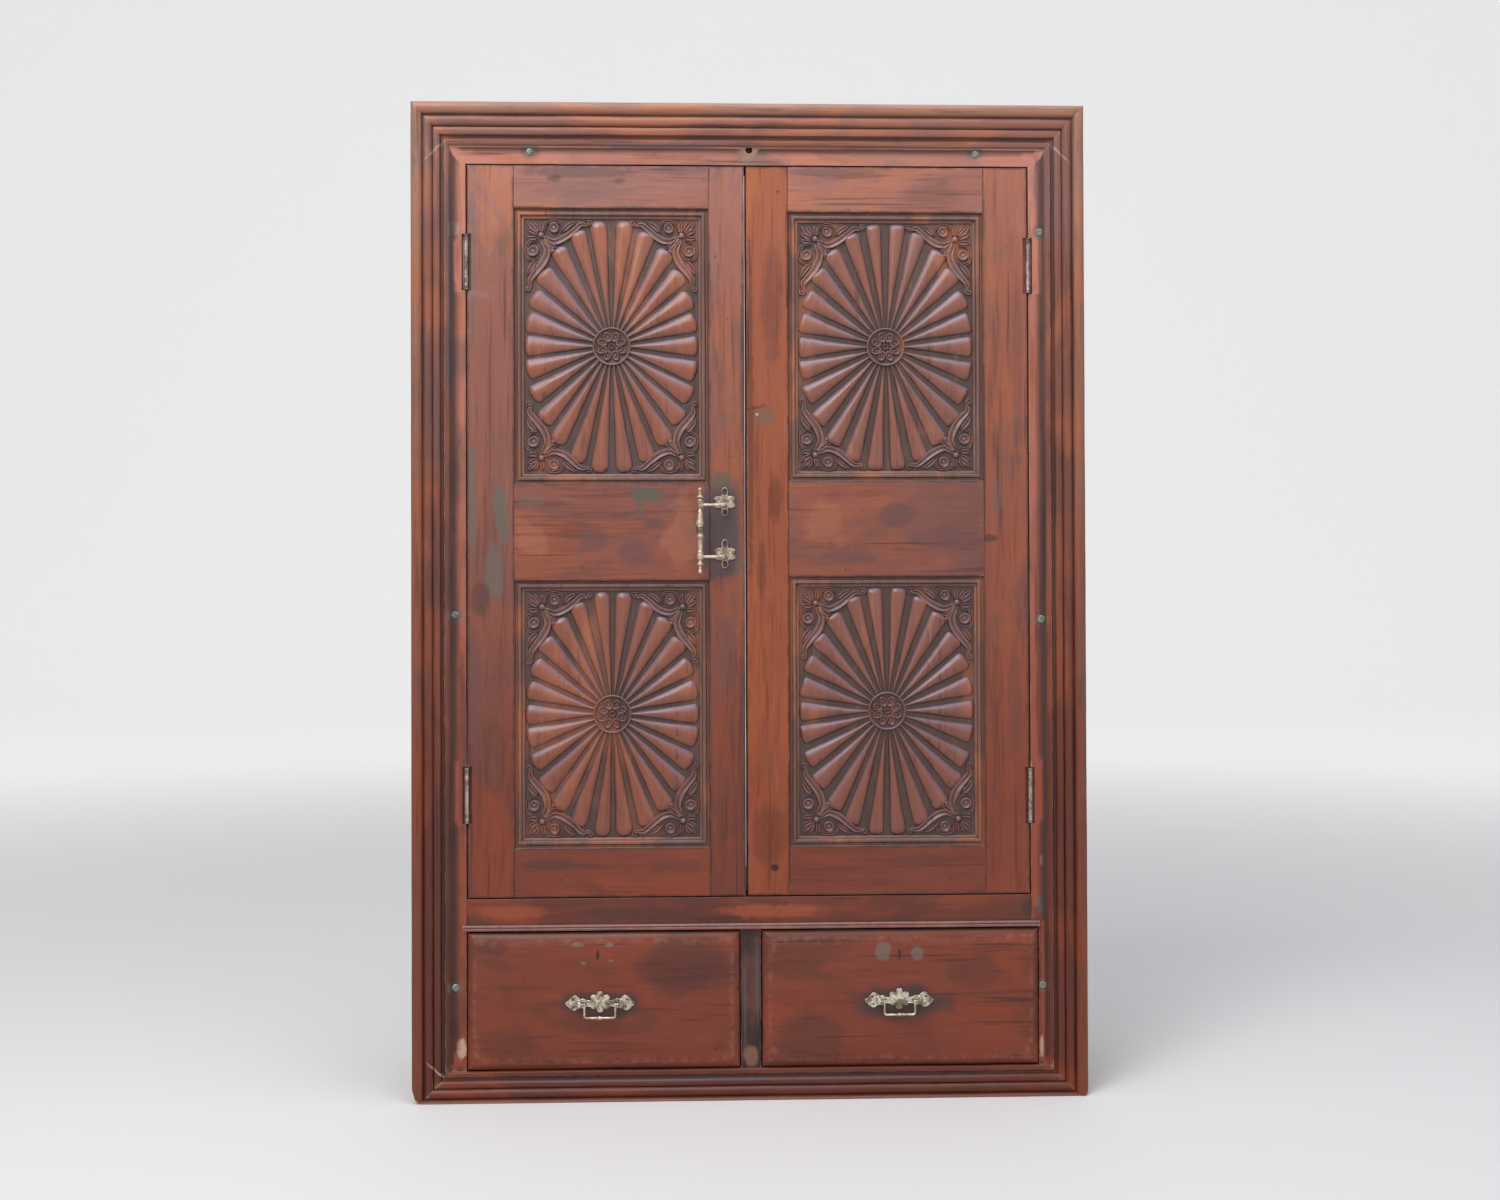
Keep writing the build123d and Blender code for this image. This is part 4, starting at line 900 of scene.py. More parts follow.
class DOOR_OT_frame_members(DoorOperator):
    """Moulded outer frame, rail, bead and muntin with rounded, worn edges"""
    bl_idname = "door.frame_members"
    bl_label = "Frame members"

    def execute(self, context):
        tones = self.tones
        grey = colour(104, 100, 92)
        pale = colour(198, 164, 142)
        slate = colour(92, 84, 88)
        deep = colour(52, 36, 34)
        plan = {
            "left_jamb": ("z", toward(tones.frame, slate, 0.25), 0.65, [
                (pale, 0.85, -0.5105, 0.090, 0.0085, 0.018), (pale, 0.75, -0.522, 1.535, 0.009, 0.012, 0.1, 4.0),
                (colour(70, 72, 58), 0.8, -0.520, 0.045, 0.016, 0.012, -0.8), (slate, 0.6, -0.528, 1.42, 0.006, 0.20),
                (grey, 0.55, -0.5205, 0.853, 0.013, 0.014), (grey, 0.5, -0.5205, 0.198, 0.013, 0.013),
                (pale, 0.6, -0.539, 0.041, 0.0020, 0.042, 0.785), (deep, 0.4, -0.508, 0.62, 0.006, 0.16),
                (pale, 0.5, -0.539, 1.688, 0.0020, 0.046, -0.74),
            ]),
            "right_jamb": ("z", darker(tones.frame, 0.96), 0.45, [
                (pale, 0.7, 0.516, 0.084, 0.0032, 0.018), (colour(236, 226, 214), 1.0, 0.500, 0.129, 0.0028, 0.0028),
                (grey, 0.7, 0.515, 0.333, 0.009, 0.016), (pale, 0.6, 0.517, 0.414, 0.003, 0.009),
                (grey, 0.5, 0.5185, 1.534, 0.013, 0.014), (grey, 0.5, 0.5185, 0.843, 0.012, 0.013),
                (grey, 0.5, 0.5185, 0.192, 0.010, 0.013), (deep, 0.5, 0.508, 0.25, 0.008, 0.08),
                (pale, 0.5, 0.539, 1.688, 0.0020, 0.046, 0.74),
            ]),
            "head": ("x", toward(tones.frame, tones.door, 0.3), 0.35, [
                (grey, 0.65, -0.388, 1.676, 0.017, 0.014), (grey, 0.5, 0.404, 1.677, 0.014, 0.012),
                (colour(120, 108, 98), 0.5, 0.002, 1.668, 0.030, 0.018), (slate, 0.5, -0.16, 1.683, 0.10, 0.006),
            ]),
            "sill": ("x", darker(tones.frame, 0.9), 0.5, [(slate, 0.45, 0.0, 0.035, 0.50, 0.003)]),
        }
        bands = ((0.1, tones.band), (-0.0010, None), (-0.0165, tones.bead))
        for seed, (node, (grain, main, stain, marks)) in enumerate(plan.items()):
            layers = [(front, tone or main) for front, tone in bands]
            finish = self.wood(
                "wood_" + node, grain, main, seed + 1.0, marks=marks, bands=layers, stain=stain, rough=0.42,
                wear=0.6, dust_and_sheen=0.25 if node == "head" else 0.5,
            )
            worn_board(node, finish, "frame", 0.0008, 0.022, 0.00045, 0.004, seed + 1.0)
        finish = self.wood("wood_mid_rail", "x", darker(tones.door, 0.70), 5.0, box=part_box("mid_rail"), stain=0.55, wear=0.12, marks=[
            (deep, 0.7, 0.500, 0.330, 0.02, 0.016), (colour(170, 84, 48), 0.45, 0.04, 0.328, 0.09, 0.012),
            (deep, 0.45, -0.20, 0.325, 0.10, 0.012), (colour(160, 80, 50), 0.4, -0.42, 0.330, 0.06, 0.012),
        ])
        worn_board("mid_rail", finish, "frame", 0.0012, 0.03, 0.0003, 0.005, 5.0)
        # Heavy dusting paints the pale highlight lines along the bead
        finish = self.wood("wood_rail_bead", "x", darker(tones.band, 0.55), 6.0, wear=0.8, dust_and_sheen=0.95, painted_sheen=0.5)
        worn_board("rail_bead", finish, "frame", 0.0006, 0.02, 0.0003, 0.004, 6.0)
        finish = self.wood("wood_muntin", "z", tones.muntin, 7.0, rough=0.5, painted_sheen=0.8, stain=0.8, marks=[
            (colour(150, 110, 88), 0.55, -0.001, 0.072, 0.012, 0.020), (slate, 0.5, 0.010, 0.20, 0.003, 0.07),
            (slate, 0.45, -0.012, 0.17, 0.0025, 0.08),
        ])
        worn_board("muntin", finish, "frame", 0.0015, 0.025, 0.0004, 0.005, 7.0)
        return {"FINISHED"}


class DOOR_OT_door_boards(DoorOperator):
    """Stiles, rails and panel mouldings of both doors"""
    bl_idname = "door.door_boards"
    bl_label = "Door boards"

    def execute(self, context):
        tones = self.tones
        soot = colour(56, 44, 42)
        grey = colour(98, 92, 82)
        green = colour(88, 86, 72)
        violet = colour(98, 66, 64)
        slate = colour(76, 66, 70)
        tan = colour(176, 112, 82)
        # Each entry: grain, tone, strength of the painted sheen by height, marks
        plan = {
            "left_hinge_stile": ("z", tones.door, 1.0, [
                (grey, 0.75, -0.490, 1.06, 0.008, 0.10), (grey, 0.8, -0.440, 1.03, 0.012, 0.06, 0.12),
                (grey, 0.7, -0.452, 0.93, 0.016, 0.05), (soot, 0.5, -0.476, 0.882, 0.016, 0.026),
                (grey, 0.5, -0.489, 1.48, 0.007, 0.13), (tan, 0.4, -0.464, 1.54, 0.014, 0.04, 0.0, 2.0, 0.8),
                (soot, 0.35, -0.450, 0.60, 0.02, 0.06), (violet, 0.5, -0.486, 0.72, 0.012, 0.12),
            ]),
            "left_lock_stile": ("z", tones.door, 1.0, [
                (slate, 0.9, -0.049, 1.006, 0.0325, 0.081, 0.0, 5.0, 0.14), (green, 0.7, -0.050, 1.093, 0.013, 0.014, 0.4, 2.0, 1.0),
                (green, 0.55, -0.020, 0.938, 0.008, 0.012, 0.0, 2.0, 1.0), (slate, 0.8, -0.054, 0.927, 0.026, 0.010, 0.3, 2.0, 0.6),
                (colour(112, 84, 72), 0.4, -0.043, 1.200, 0.017, 0.012, 0.2, 2.0, 0.9), (soot, 0.4, -0.014, 0.62, 0.007, 0.2),
                (violet, 0.4, -0.040, 0.78, 0.015, 0.08), (soot, 0.5, -0.0125, 1.30, 0.004, 0.16),
            ]),
            "left_top_rail": ("x", tones.door, 1.0, [
                (slate, 0.55, -0.30, 1.637, 0.10, 0.010), (slate, 0.4, -0.12, 1.64, 0.05, 0.008),
                (soot, 0.5, -0.345, 1.626, 0.012, 0.006), (soot, 0.4, -0.23, 1.622, 0.010, 0.005),
            ]),
            "left_lock_rail": ("x", darker(tones.door, 0.97), 1.0, [
                (green, 0.85, -0.182, 1.066, 0.028, 0.012, -0.1, 3.0), (green, 0.7, -0.195, 1.045, 0.007, 0.020),
                (violet, 0.75, -0.170, 1.012, 0.020, 0.010), (violet, 0.6, -0.280, 0.985, 0.026, 0.018),
                (violet, 0.6, -0.203, 0.965, 0.026, 0.026), (grey, 0.4, -0.386, 1.055, 0.022, 0.012),
                (tan, 0.3, -0.390, 0.988, 0.024, 0.036, 0.2, 2.0, 0.9), (tan, 0.35, -0.120, 1.000, 0.032, 0.060, 0.0, 2.0, 0.9),
                (slate, 0.9, -0.076, 1.006, 0.0065, 0.080, 0.0, 5.0, 0.10),
            ]),
            "left_bottom_rail": ("x", tones.door, 1.0, [(soot, 0.4, -0.35, 0.412, 0.06, 0.010), (soot, 0.3, -0.13, 0.41, 0.05, 0.014)]),
            "right_meeting_stile": ("z", tones.meeting, 0.55, [
                # The small pale spot is a painted highlight on the escutcheon
                (colour(112, 98, 84), 0.6, 0.0255, 1.205, 0.0165, 0.0130, 0.0, 3.0, 0.5), (colour(196, 178, 156), 0.8, 0.0128, 1.2075, 0.0024, 0.0024), (soot, 0.35, 0.0150, 1.221, 0.016, 0.0030, 0.2, 2.0, 0.8),
                # The long dark line paints the shade inside the gap between the doors
                (soot, 1.0, -0.0082, 1.0, 0.0026, 0.78, 0.0, 8.0, 0.02),
                (soot, 0.4, 0.045, 1.06, 0.012, 0.04), (soot, 0.45, 0.001, 1.20, 0.005, 0.30),
                (violet, 0.4, 0.040, 1.40, 0.018, 0.10), (soot, 0.3, 0.035, 0.46, 0.03, 0.05),
                (soot, 0.35, 0.020, 0.93, 0.008, 0.05), (soot, 0.9, 0.0417, 0.4045, 0.007, 0.006),
            ]),
            "right_hinge_stile": ("z", toward(tones.door, tones.meeting, 0.75), 0.95, [
                (soot, 0.7, 0.428, 0.987, 0.012, 0.007), (soot, 0.3, 0.470, 0.70, 0.012, 0.10),
                (violet, 0.4, 0.478, 1.30, 0.010, 0.16), (grey, 0.35, 0.440, 1.06, 0.012, 0.03),
            ]),
            "right_top_rail": ("x", tones.door, 1.0, [(slate, 0.4, 0.15, 1.64, 0.08, 0.008), (violet, 0.3, 0.33, 1.60, 0.05, 0.02)]),
            "right_lock_rail": ("x", darker(tones.door, 0.97), 1.0, [
                (violet, 0.7, 0.262, 1.030, 0.036, 0.020), (violet, 0.5, 0.34, 0.99, 0.05, 0.018),
                (tan, 0.25, 0.13, 1.01, 0.03, 0.05, 0.3, 2.0, 0.9), (violet, 0.45, 0.17, 0.955, 0.05, 0.014),
            ]),
            "right_bottom_rail": ("x", tones.door, 1.0, [(soot, 0.3, 0.30, 0.415, 0.06, 0.010)]),
        }
        for index, (node, (grain, main, painted_sheen, marks)) in enumerate(plan.items()):
            body = "left_door" if node.startswith("left") else "right_door"
            finish = self.wood(
                "wood_" + node, grain, main, 11.0 + index * 1.7, box=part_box(node), marks=marks, painted_sheen=painted_sheen,
                stain=0.5 if painted_sheen > 0.9 else 0.3, wear=0.1 if "meeting" in node else 0.35,
                shine=0.05 if "meeting" in node else 0.35,
            )
            worn_board(node, finish, body, 0.0010, 0.03, 0.00025, 0.005, 11.0 + index)
        for side in ("left", "right"):
            for level in ("upper", "lower"):
                node = f"{side}_{level}_moulding"
                finish = self.wood("wood_" + node, "z", darker(tones.ground, 0.78), 31.0 + len(node),
                                   dust_and_sheen=0.55, wear=0.3, painted_sheen=0.35, stain=0.2)
                worn_board(node, finish, side + "_door", 0.0004, 0.02, 0.00022, 0.003, 30.0)
        return {"FINISHED"}


class DOOR_OT_carved_panels(DoorOperator):
    """Sunburst panels with rosette, corner leaves, tendrils and roundels"""
    bl_idname = "door.carved_panels"
    bl_label = "Carved panels"

    def execute(self, context):
        tones = self.tones
        sizes = self.sizes
        rays = ray_tree()
        shapes = {
            "left": bpy.data.objects.new("left_petal_shape", petal_shape(0.13, 0.080, 2.2, 1.7)),
            "right": bpy.data.objects.new("right_petal_shape", petal_shape(0.08, 0.070, 3.0, 1.9)),
        }
        shares = {"left": 0.99, "right": 0.93}
        # The sixth colour, a lilac grey, is the dusting with painted sky sheen on the petal flanks that look up
        palette = (tones.warm, tones.cool, tones.pale, tones.dark, toward(tones.film, tones.ground, 0.8),
                   colour(138, 122, 142), tones.grime_and_shade)
        for shape in shapes.values():
            bpy.context.scene.collection.objects.link(shape)
        for number, node in enumerate(("left_upper_panel", "right_upper_panel", "left_lower_panel", "right_lower_panel")):
            side = node.split("_")[0]
            low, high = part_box(node)
            centre = Vector(((low.x + high.x) / 2, (low.z + high.z) / 2))
            half_x = (high.x - low.x) / 2 - sizes.tongue - sizes.moulding
            half_z = (high.z - low.z) / 2 - sizes.tongue - sizes.moulding
            petal = toward(tones.carved, tones.cool, 0.0 if side == "left" else 0.25)
            finish = self.wood(
                "carved_" + node, "z", tones.ground, 41.0 + number * 3, carving=(centre.x, centre.y, petal),
                palette=palette, stain=0.3, rough=0.34, painted_sheen=0.5, dust_and_sheen=0.75, shine=0.5, dust_sheen_facing=(0.06, 0.55),
            )
            mesh = grown(node + "_rays", rays, bpy.data.meshes.new("empty"), {
                "Petal": shapes[side], "Material": finish, "Count": sizes.petals, "Squeeze": sizes.squeeze,
                "Half Width": half_x, "Half Height": half_z + 0.001, "Root": sizes.root,
                "Share": shares[side], "Crown": sizes.crown, "Centre": (centre.x, sizes.ground, centre.y),
                "Unevenness": 0.0012, "Seed": number + 3,
            })
            checked(len(mesh.polygons) > 1000, "the rays of " + node + " are missing")
            forms = [ground_board(low, high, sizes.ground, number * 2.3)]
            forms += rosette_forms(centre, sizes.ground, sizes.ring)
            for to_x in (-1, 1):
                for to_z in (-1, 1):
                    corner = Vector((centre.x + to_x * half_x, centre.y + to_z * half_z))
                    forms += spray_forms(corner, to_x, to_z, sizes.ground, number * 5 + to_x + 2 * to_z)
            rest = joined(node + "_rest", forms, math.radians(50))
            work = bmesh.new()
            work.from_mesh(rest)
            plain = len(work.verts)
            work.from_mesh(mesh)
            layer = work.verts.layers.float.new("petal")
            for index, vert in enumerate(work.verts):
                vert[layer] = 1.0 if index >= plain else 0.0
                for axis in range(3):
                    vert.co[axis] = min(max(vert.co[axis], low[axis]), high[axis])
            whole = bpy.data.meshes.new("carved_" + node)
            work.to_mesh(whole)
            work.free()
            smooth(whole, math.radians(50))
            put("carved_" + node, whole, finish, side + "_door", [node])
        for shape in shapes.values():
            bpy.data.objects.remove(shape)
        return {"FINISHED"}


class DOOR_OT_drawers(DoorOperator):
    """Drawer fronts with worn bevels, and finishes for their boxes and case"""
    bl_idname = "door.drawers"
    bl_label = "Drawers"

    def execute(self, context):
        tones = self.tones
        soot = colour(44, 32, 31)
        grey = colour(112, 98, 88)
        oval = colour(66, 46, 46)
        marks = {
            "left": [
                (soot, 0.5, -0.115, 0.235, 0.085, 0.050), (grey, 0.8, -0.307, 0.273, 0.011, 0.004),
                (grey, 0.8, -0.2515, 0.272, 0.007, 0.004), (grey, 0.8, -0.296, 0.241, 0.004, 0.003),
                (grey, 0.8, -0.248, 0.244, 0.004, 0.003), (soot, 1.0, -0.271, 0.255, 0.0026, 0.0080),
                (soot, 0.3, -0.42, 0.10, 0.06, 0.03), (oval, 0.85, -0.264, 0.168, 0.070, 0.024),
                (soot, 0.4, -0.46, 0.27, 0.03, 0.014),
            ],
            "right": [
                (oval, 0.95, 0.264, 0.165, 0.078, 0.030), (grey, 0.75, 0.2325, 0.256, 0.014, 0.015, 0.0, 3.0),
                (grey, 0.7, 0.294, 0.252, 0.010, 0.011), (soot, 1.0, 0.2615, 0.2515, 0.0028, 0.0090),
                (soot, 0.35, 0.10, 0.10, 0.06, 0.05), (soot, 0.3, 0.40, 0.22, 0.05, 0.03),
            ],
        }
        for number, side in enumerate(("left", "right")):
            node = side + "_drawer_front"
            # Heavy dusting paints the pale sheen on the top bevels
            finish = self.wood(
                "wood_" + node, "x", toward(tones.door, tones.warm, 0.25), 61.0 + number * 4, box=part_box(node),
                marks=marks[side], stain=0.5, wear=0.12, rough=0.38, dust_and_sheen=0.8,
            )
            worn_board(node, finish, side + "_drawer", 0.0012, 0.03, 0.0003, 0.006, 61.0 + number)
        bare = (colour(176, 132, 90), colour(118, 96, 80), colour(206, 176, 138), colour(88, 62, 46),
                colour(120, 110, 92), colour(150, 140, 128), tones.grime_and_shade)
        plain, deep = (
            self.wood("wood_inner_" + grain, grain, tones.inner, seed, palette=bare, painted_sheen=0.0, rough=0.62, shine=0.25)
            for grain, seed in (("x", 71.0), ("y", 73.0))
        )
        for name, node in NODES.items():
            if name.startswith("case_") or "_drawer_" in name:
                node.data.materials.clear()
                node.data.materials.append(deep if name.endswith("_side") or name == "case_partition" else plain)
        return {"FINISHED"}


class DOOR_OT_hinges(DoorOperator):
    """Iron butt hinges with ringed knuckles"""
    bl_idname = "door.hinges"
    bl_label = "Hinges"

    def execute(self, context):
        iron = metal("old_iron", self.tones.iron, colour(178, 162, 154), colour(48, 36, 32), 0.42, 0.7, 3.0, 0.6)
        for side in ("left", "right"):
            for level in ("upper", "lower"):
                base = f"{side}_{level}_hinge_"
                low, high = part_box(base + "door_leaf")
                frame_low, frame_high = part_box(base + "frame_leaf")
                radius = 0.0043
                turn = 1 if side == "left" else -1
                axis_x = low.x + radius if turn > 0 else high.x - radius
                axis_y = low.y + radius
                z0, z1 = frame_low.z, frame_high.z
                end = 0.0165
                self.leaf(base + "frame_leaf", "frame", iron, -turn, axis_x, axis_y, (z0, z1), [
                    (z0, z0 + end), (z1 - end, z1)], frame_low, frame_high, 0.0022)
                self.leaf(base + "door_leaf", side + "_door", iron, turn, axis_x, axis_y, (z0, z1), [
                    (z0 + end + 0.00025, z1 - end - 0.00025)], low, high, 0.0)
        return {"FINISHED"}

    def leaf(self, node, body, material, into, x, y, span, knuckles, low, high, pin):
        """One leaf plate with its knuckles; the frame leaf also carries the pin."""
        forms = []
        for bottom, top in knuckles:
            long = top - bottom
            edge = 0.0007
            ends = [(0.0030, 0.0), (0.0040, 0.0001), (0.0043, edge), (0.0043, 2.4 * edge), (0.0036, 3.4 * edge)]
            flared = [(0.0030, 0.0), (0.0043, 0.0002), (0.0043, 0.0014), (0.0028, 0.0022), (0.0028, 0.0036),
                      (0.0043, 0.0043), (0.0043, 0.0052), (0.0036, 0.0062)]
            profile = list(flared if pin and bottom == span[0] else ends)
            upper = flared if pin and bottom != span[0] else ends
            profile += [(radius, long - height) for radius, height in reversed(upper)]
            forms.append(lathe(profile, 24, Matrix.Translation((x, y, bottom))))
        if pin:
            forms.append(lathe([(pin, 0.001), (pin, span[1] - span[0] - 0.001)], 16, Matrix.Translation((x, y, span[0]))))
        near = x + into * 0.0013
        far = near + into * 0.0016
        x0, x1 = sorted((near, far))
        y0 = y + 0.001
        y1 = high.y
        plate = [Vector((a, b, c)) for c in span for b in (y0, y1) for a in (x0, x1)]
        forms.append((plate, [(0, 1, 3, 2), (4, 6, 7, 5), (0, 4, 5, 1), (2, 3, 7, 6), (0, 2, 6, 4), (1, 5, 7, 3)]))
        mesh = joined(node + "_mesh", forms)
        put("old_" + node, mesh, material, body, [node])


def plate_from_outline(name, outlines, front, thickness, bevel=0.0005):
    """Flat plate in X and Z from closed outlines, holes included, with a rounded rim; returns a mesh."""
    shape = bpy.data.curves.new(name, "CURVE")
    shape.dimensions = "2D"
    shape.fill_mode = "BOTH"
    shape.extrude = thickness / 2 - bevel
    shape.bevel_depth = bevel
    shape.bevel_resolution = 2
    for outline in outlines:
        spline = shape.splines.new("POLY")
        spline.points.add(len(outline) - 1)
        for point, (x, z) in zip(spline.points, outline):
            point.co = (x, z, 0, 1)
        spline.use_cyclic_u = True
    holder = bpy.data.objects.new(name, shape)
    bpy.context.scene.collection.objects.link(holder)
    bpy.context.view_layer.update()
    mesh = bpy.data.meshes.new_from_object(holder.evaluated_get(bpy.context.evaluated_depsgraph_get()))
    bpy.data.objects.remove(holder)
    mesh.transform(Matrix.Translation((0, front + thickness / 2, 0)) @ Matrix.Rotation(math.radians(90), 4, "X"))
    work = bmesh.new()
    work.from_mesh(mesh)
    bmesh.ops.remove_doubles(work, verts=work.verts, dist=1e-6)
    bmesh.ops.recalc_face_normals(work, faces=work.faces)
    points = [v.co.copy() for v in work.verts]
    faces = [tuple(v.index for v in f.verts) for f in work.faces]
    work.free()
    return points, faces


def circle(x, z, radius, count=20):
    """Outline of a round hole or disc."""
    return [(x + radius * math.cos(2 * math.pi * i / count), z + radius * math.sin(2 * math.pi * i / count)) for i in range(count)]


def lobed(x, z, base, swing, lobes, turn=0.0, count=96, stretch=1.0):
    """Outline with rounded lobes."""
    outline = []
    for index in range(count):
        way = 2 * math.pi * index / count
        reach = base + swing * abs(math.cos(lobes * (way - turn) / 2)) ** 0.8
        outline.append((x + reach * math.cos(way), z + reach * math.sin(way) * stretch))
    return outline


class DOOR_OT_door_pull(DoorOperator):
    """Brass bar pull: turned bar, two bent arms and their four-lobed plates"""
    bl_idname = "door.door_pull"
    bl_label = "Door pull"

    def execute(self, context):
        tones = self.tones
        low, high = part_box("door_pull_bar")
        ribs = (low.z + 0.0700, low.z + 0.0838)
        bright = colour(206, 188, 168)
        dirt = colour(82, 70, 58)
        brass = metal("old_brass_bar", tones.brass, bright, dirt, 0.38, 0.7, 5.0, 0.5, span=ribs)
        x = (low.x + high.x) / 2
        y = (low.y + high.y) / 2
        profile = [
            (0.0004, 0.0), (0.0026, 0.0005), (0.0038, 0.0020), (0.0041, 0.0037), (0.0036, 0.0055), (0.0024, 0.0070),
            (0.0023, 0.0090), (0.0030, 0.0108), (0.0024, 0.0124), (0.0030, 0.0145), (0.0060, 0.0160), (0.0062, 0.0174),
            (0.0050, 0.0186), (0.0036, 0.0204), (0.0034, 0.0225), (0.0034, 0.0352), (0.0052, 0.0366), (0.0054, 0.0382),
            (0.0044, 0.0396), (0.0042, 0.0440), (0.0043, 0.0510), (0.0048, 0.0570), (0.0056, 0.0620), (0.0069, 0.0634),
            (0.0071, 0.0650), (0.0069, 0.0668), (0.0056, 0.0682), (0.0055, 0.0698), (0.0068, 0.0708), (0.0069, 0.0726),
            (0.0060, 0.0734), (0.0069, 0.0742), (0.0069, 0.0758), (0.0060, 0.0766), (0.0069, 0.0774), (0.0069, 0.0790),
            (0.0060, 0.0798), (0.0069, 0.0806), (0.0069, 0.0822), (0.0058, 0.0834), (0.0060, 0.0848), (0.0072, 0.0862),
            (0.0073, 0.0890), (0.0069, 0.0906), (0.0062, 0.0950), (0.0055, 0.0990), (0.0047, 0.1030), (0.0041, 0.1066),
            (0.0046, 0.1080), (0.0034, 0.1094), (0.0034, 0.1262), (0.0052, 0.1272), (0.0056, 0.1288), (0.0044, 0.1302),
            (0.0036, 0.1316), (0.0064, 0.1330), (0.0067, 0.1346), (0.0060, 0.1360), (0.0034, 0.1376), (0.0028, 0.1400),
            (0.0034, 0.1424), (0.0024, 0.1440), (0.0033, 0.1458), (0.0040, 0.1478), (0.0037, 0.1496), (0.0020, 0.1508),
            (0.0004, 0.1510),
        ]
        mesh = joined("pull_bar_mesh", [lathe(profile, 28, Matrix.Translation((x, y, low.z)))], math.radians(60))
        put("brass_door_pull_bar", mesh, brass, "left_door", ["door_pull_bar"])
        brass = metal("old_brass", darker(tones.brass, 0.72), bright, dirt, 0.44, 0.6, 5.5, 0.7, hollow=(-0.0036, -0.0014))
        for node, arm_z, plate_z in (("door_pull_lower_arm", 0.9537, 0.960), ("door_pull_upper_arm", 1.0445, 1.052)):
            self.arm(node, brass, x, y, arm_z, plate_z)
        return {"FINISHED"}

    def arm(self, node, brass, x, y, z, plate_z):
        """Arm with a swelling bend, the eye round the bar, and the pierced plate with its screws."""
        plate_x = -0.045
        path = rounded([
            Vector((plate_x, -0.001, z)), Vector((plate_x, y, z)), Vector((x + 0.005, y, z)),
        ], 0.012, 10)
        count = len(path) - 1
        radii = [0.0027 + 0.0016 * math.sin(math.pi * i / count) ** 2 for i in range(count + 1)]
        radii[0] = 0.0050
        forms = [tube(path, radii, 14)]
        eye = [(0.0034, 0.0), (0.0052, 0.0), (0.0060, 0.0008), (0.0063, 0.0022), (0.0058, 0.0034), (0.0060, 0.0055),
               (0.0058, 0.0076), (0.0063, 0.0088), (0.0060, 0.0102), (0.0052, 0.0110), (0.0034, 0.0110)]
        sides = 24
        points, faces = lathe(eye, sides, Matrix.Translation((x, y, z - 0.0055)))
        faces = faces[:-2]
        top = (len(eye) - 1) * sides
        for index in range(sides):
            after = (index + 1) % sides
            faces.append((index, top + index, top + after, after))
        forms.append((points, faces))
        forms.append(lathe([(0.0062, 0.0), (0.0066, 0.001), (0.0058, 0.0022), (0.0044, 0.003), (0.0034, 0.0052)], 20,
                           axis_matrix((plate_x, -0.0022, z), (0, -1, 0))))
        rim = []
        for index in range(96):
            way = 2 * math.pi * index / 96
            c, q = abs(math.cos(way)), abs(math.sin(way))
            reach = 0.0104 + 0.0088 * math.exp(-((math.atan2(q, c) - 0.36) / 0.42) ** 2) + 0.0006 * math.cos(20 * way)
            rim.append((plate_x + reach * math.cos(way), plate_z + reach * math.sin(way)))
        holes = [circle(plate_x + a * 0.0050, plate_z + u * 0.0094, 0.0013, 10) for a in (-1, 1) for u in (-1, 1)]
        forms.append(plate_from_outline(node + "_plate", [rim] + holes, -0.0024, 0.0023, 0.0007))
        middle = Vector((plate_x, plate_z))
        for up in (-1, 1):
            loop = []
            for index in range(27):
                way = 2 * math.pi * index / 24
                loop.append(Vector((plate_x + 0.0052 * math.cos(way), -0.0018, plate_z + up * 0.0180 + 0.0070 * math.sin(way))))
            forms.append(tube(loop, 0.0013, 8))
            for aside in (-1, 1):
                path = curve_path([middle + Vector((aside * a, up * u)) for a, u in ((0.004, 0.002), (0.011, 0.0062), (0.0182, 0.0074))], 7)
                forms.append(leaf_form(path, 0.0098, 0.0013, -0.0022, 0.6, 3, 3.0))
                path = curve_path([middle + Vector((aside * a, up * u)) for a, u in ((0.002, 0.005), (0.006, 0.010), (0.003, 0.0125))], 6)
                forms.append(leaf_form(path, 0.0040, 0.0012, -0.0022, 0.4, 3, 2.0))
        for aside in (-1, 1):
            forms.append(lathe([(0.0026, 0.0), (0.0025, 0.0006), (0.0016, 0.0012), (0.0002, 0.0014)], 14,
                               axis_matrix((plate_x + aside * 0.0105, -0.0023, plate_z), (0, -1, 0))))
        mesh = joined(node + "_mesh", forms, math.radians(45))
        low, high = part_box(node)
        for vert in mesh.vertices:
            for axis in (0, 2):
                vert.co[axis] = min(max(vert.co[axis], low[axis]), high[axis])
        put("brass_" + node, mesh, brass, "left_door", [node])


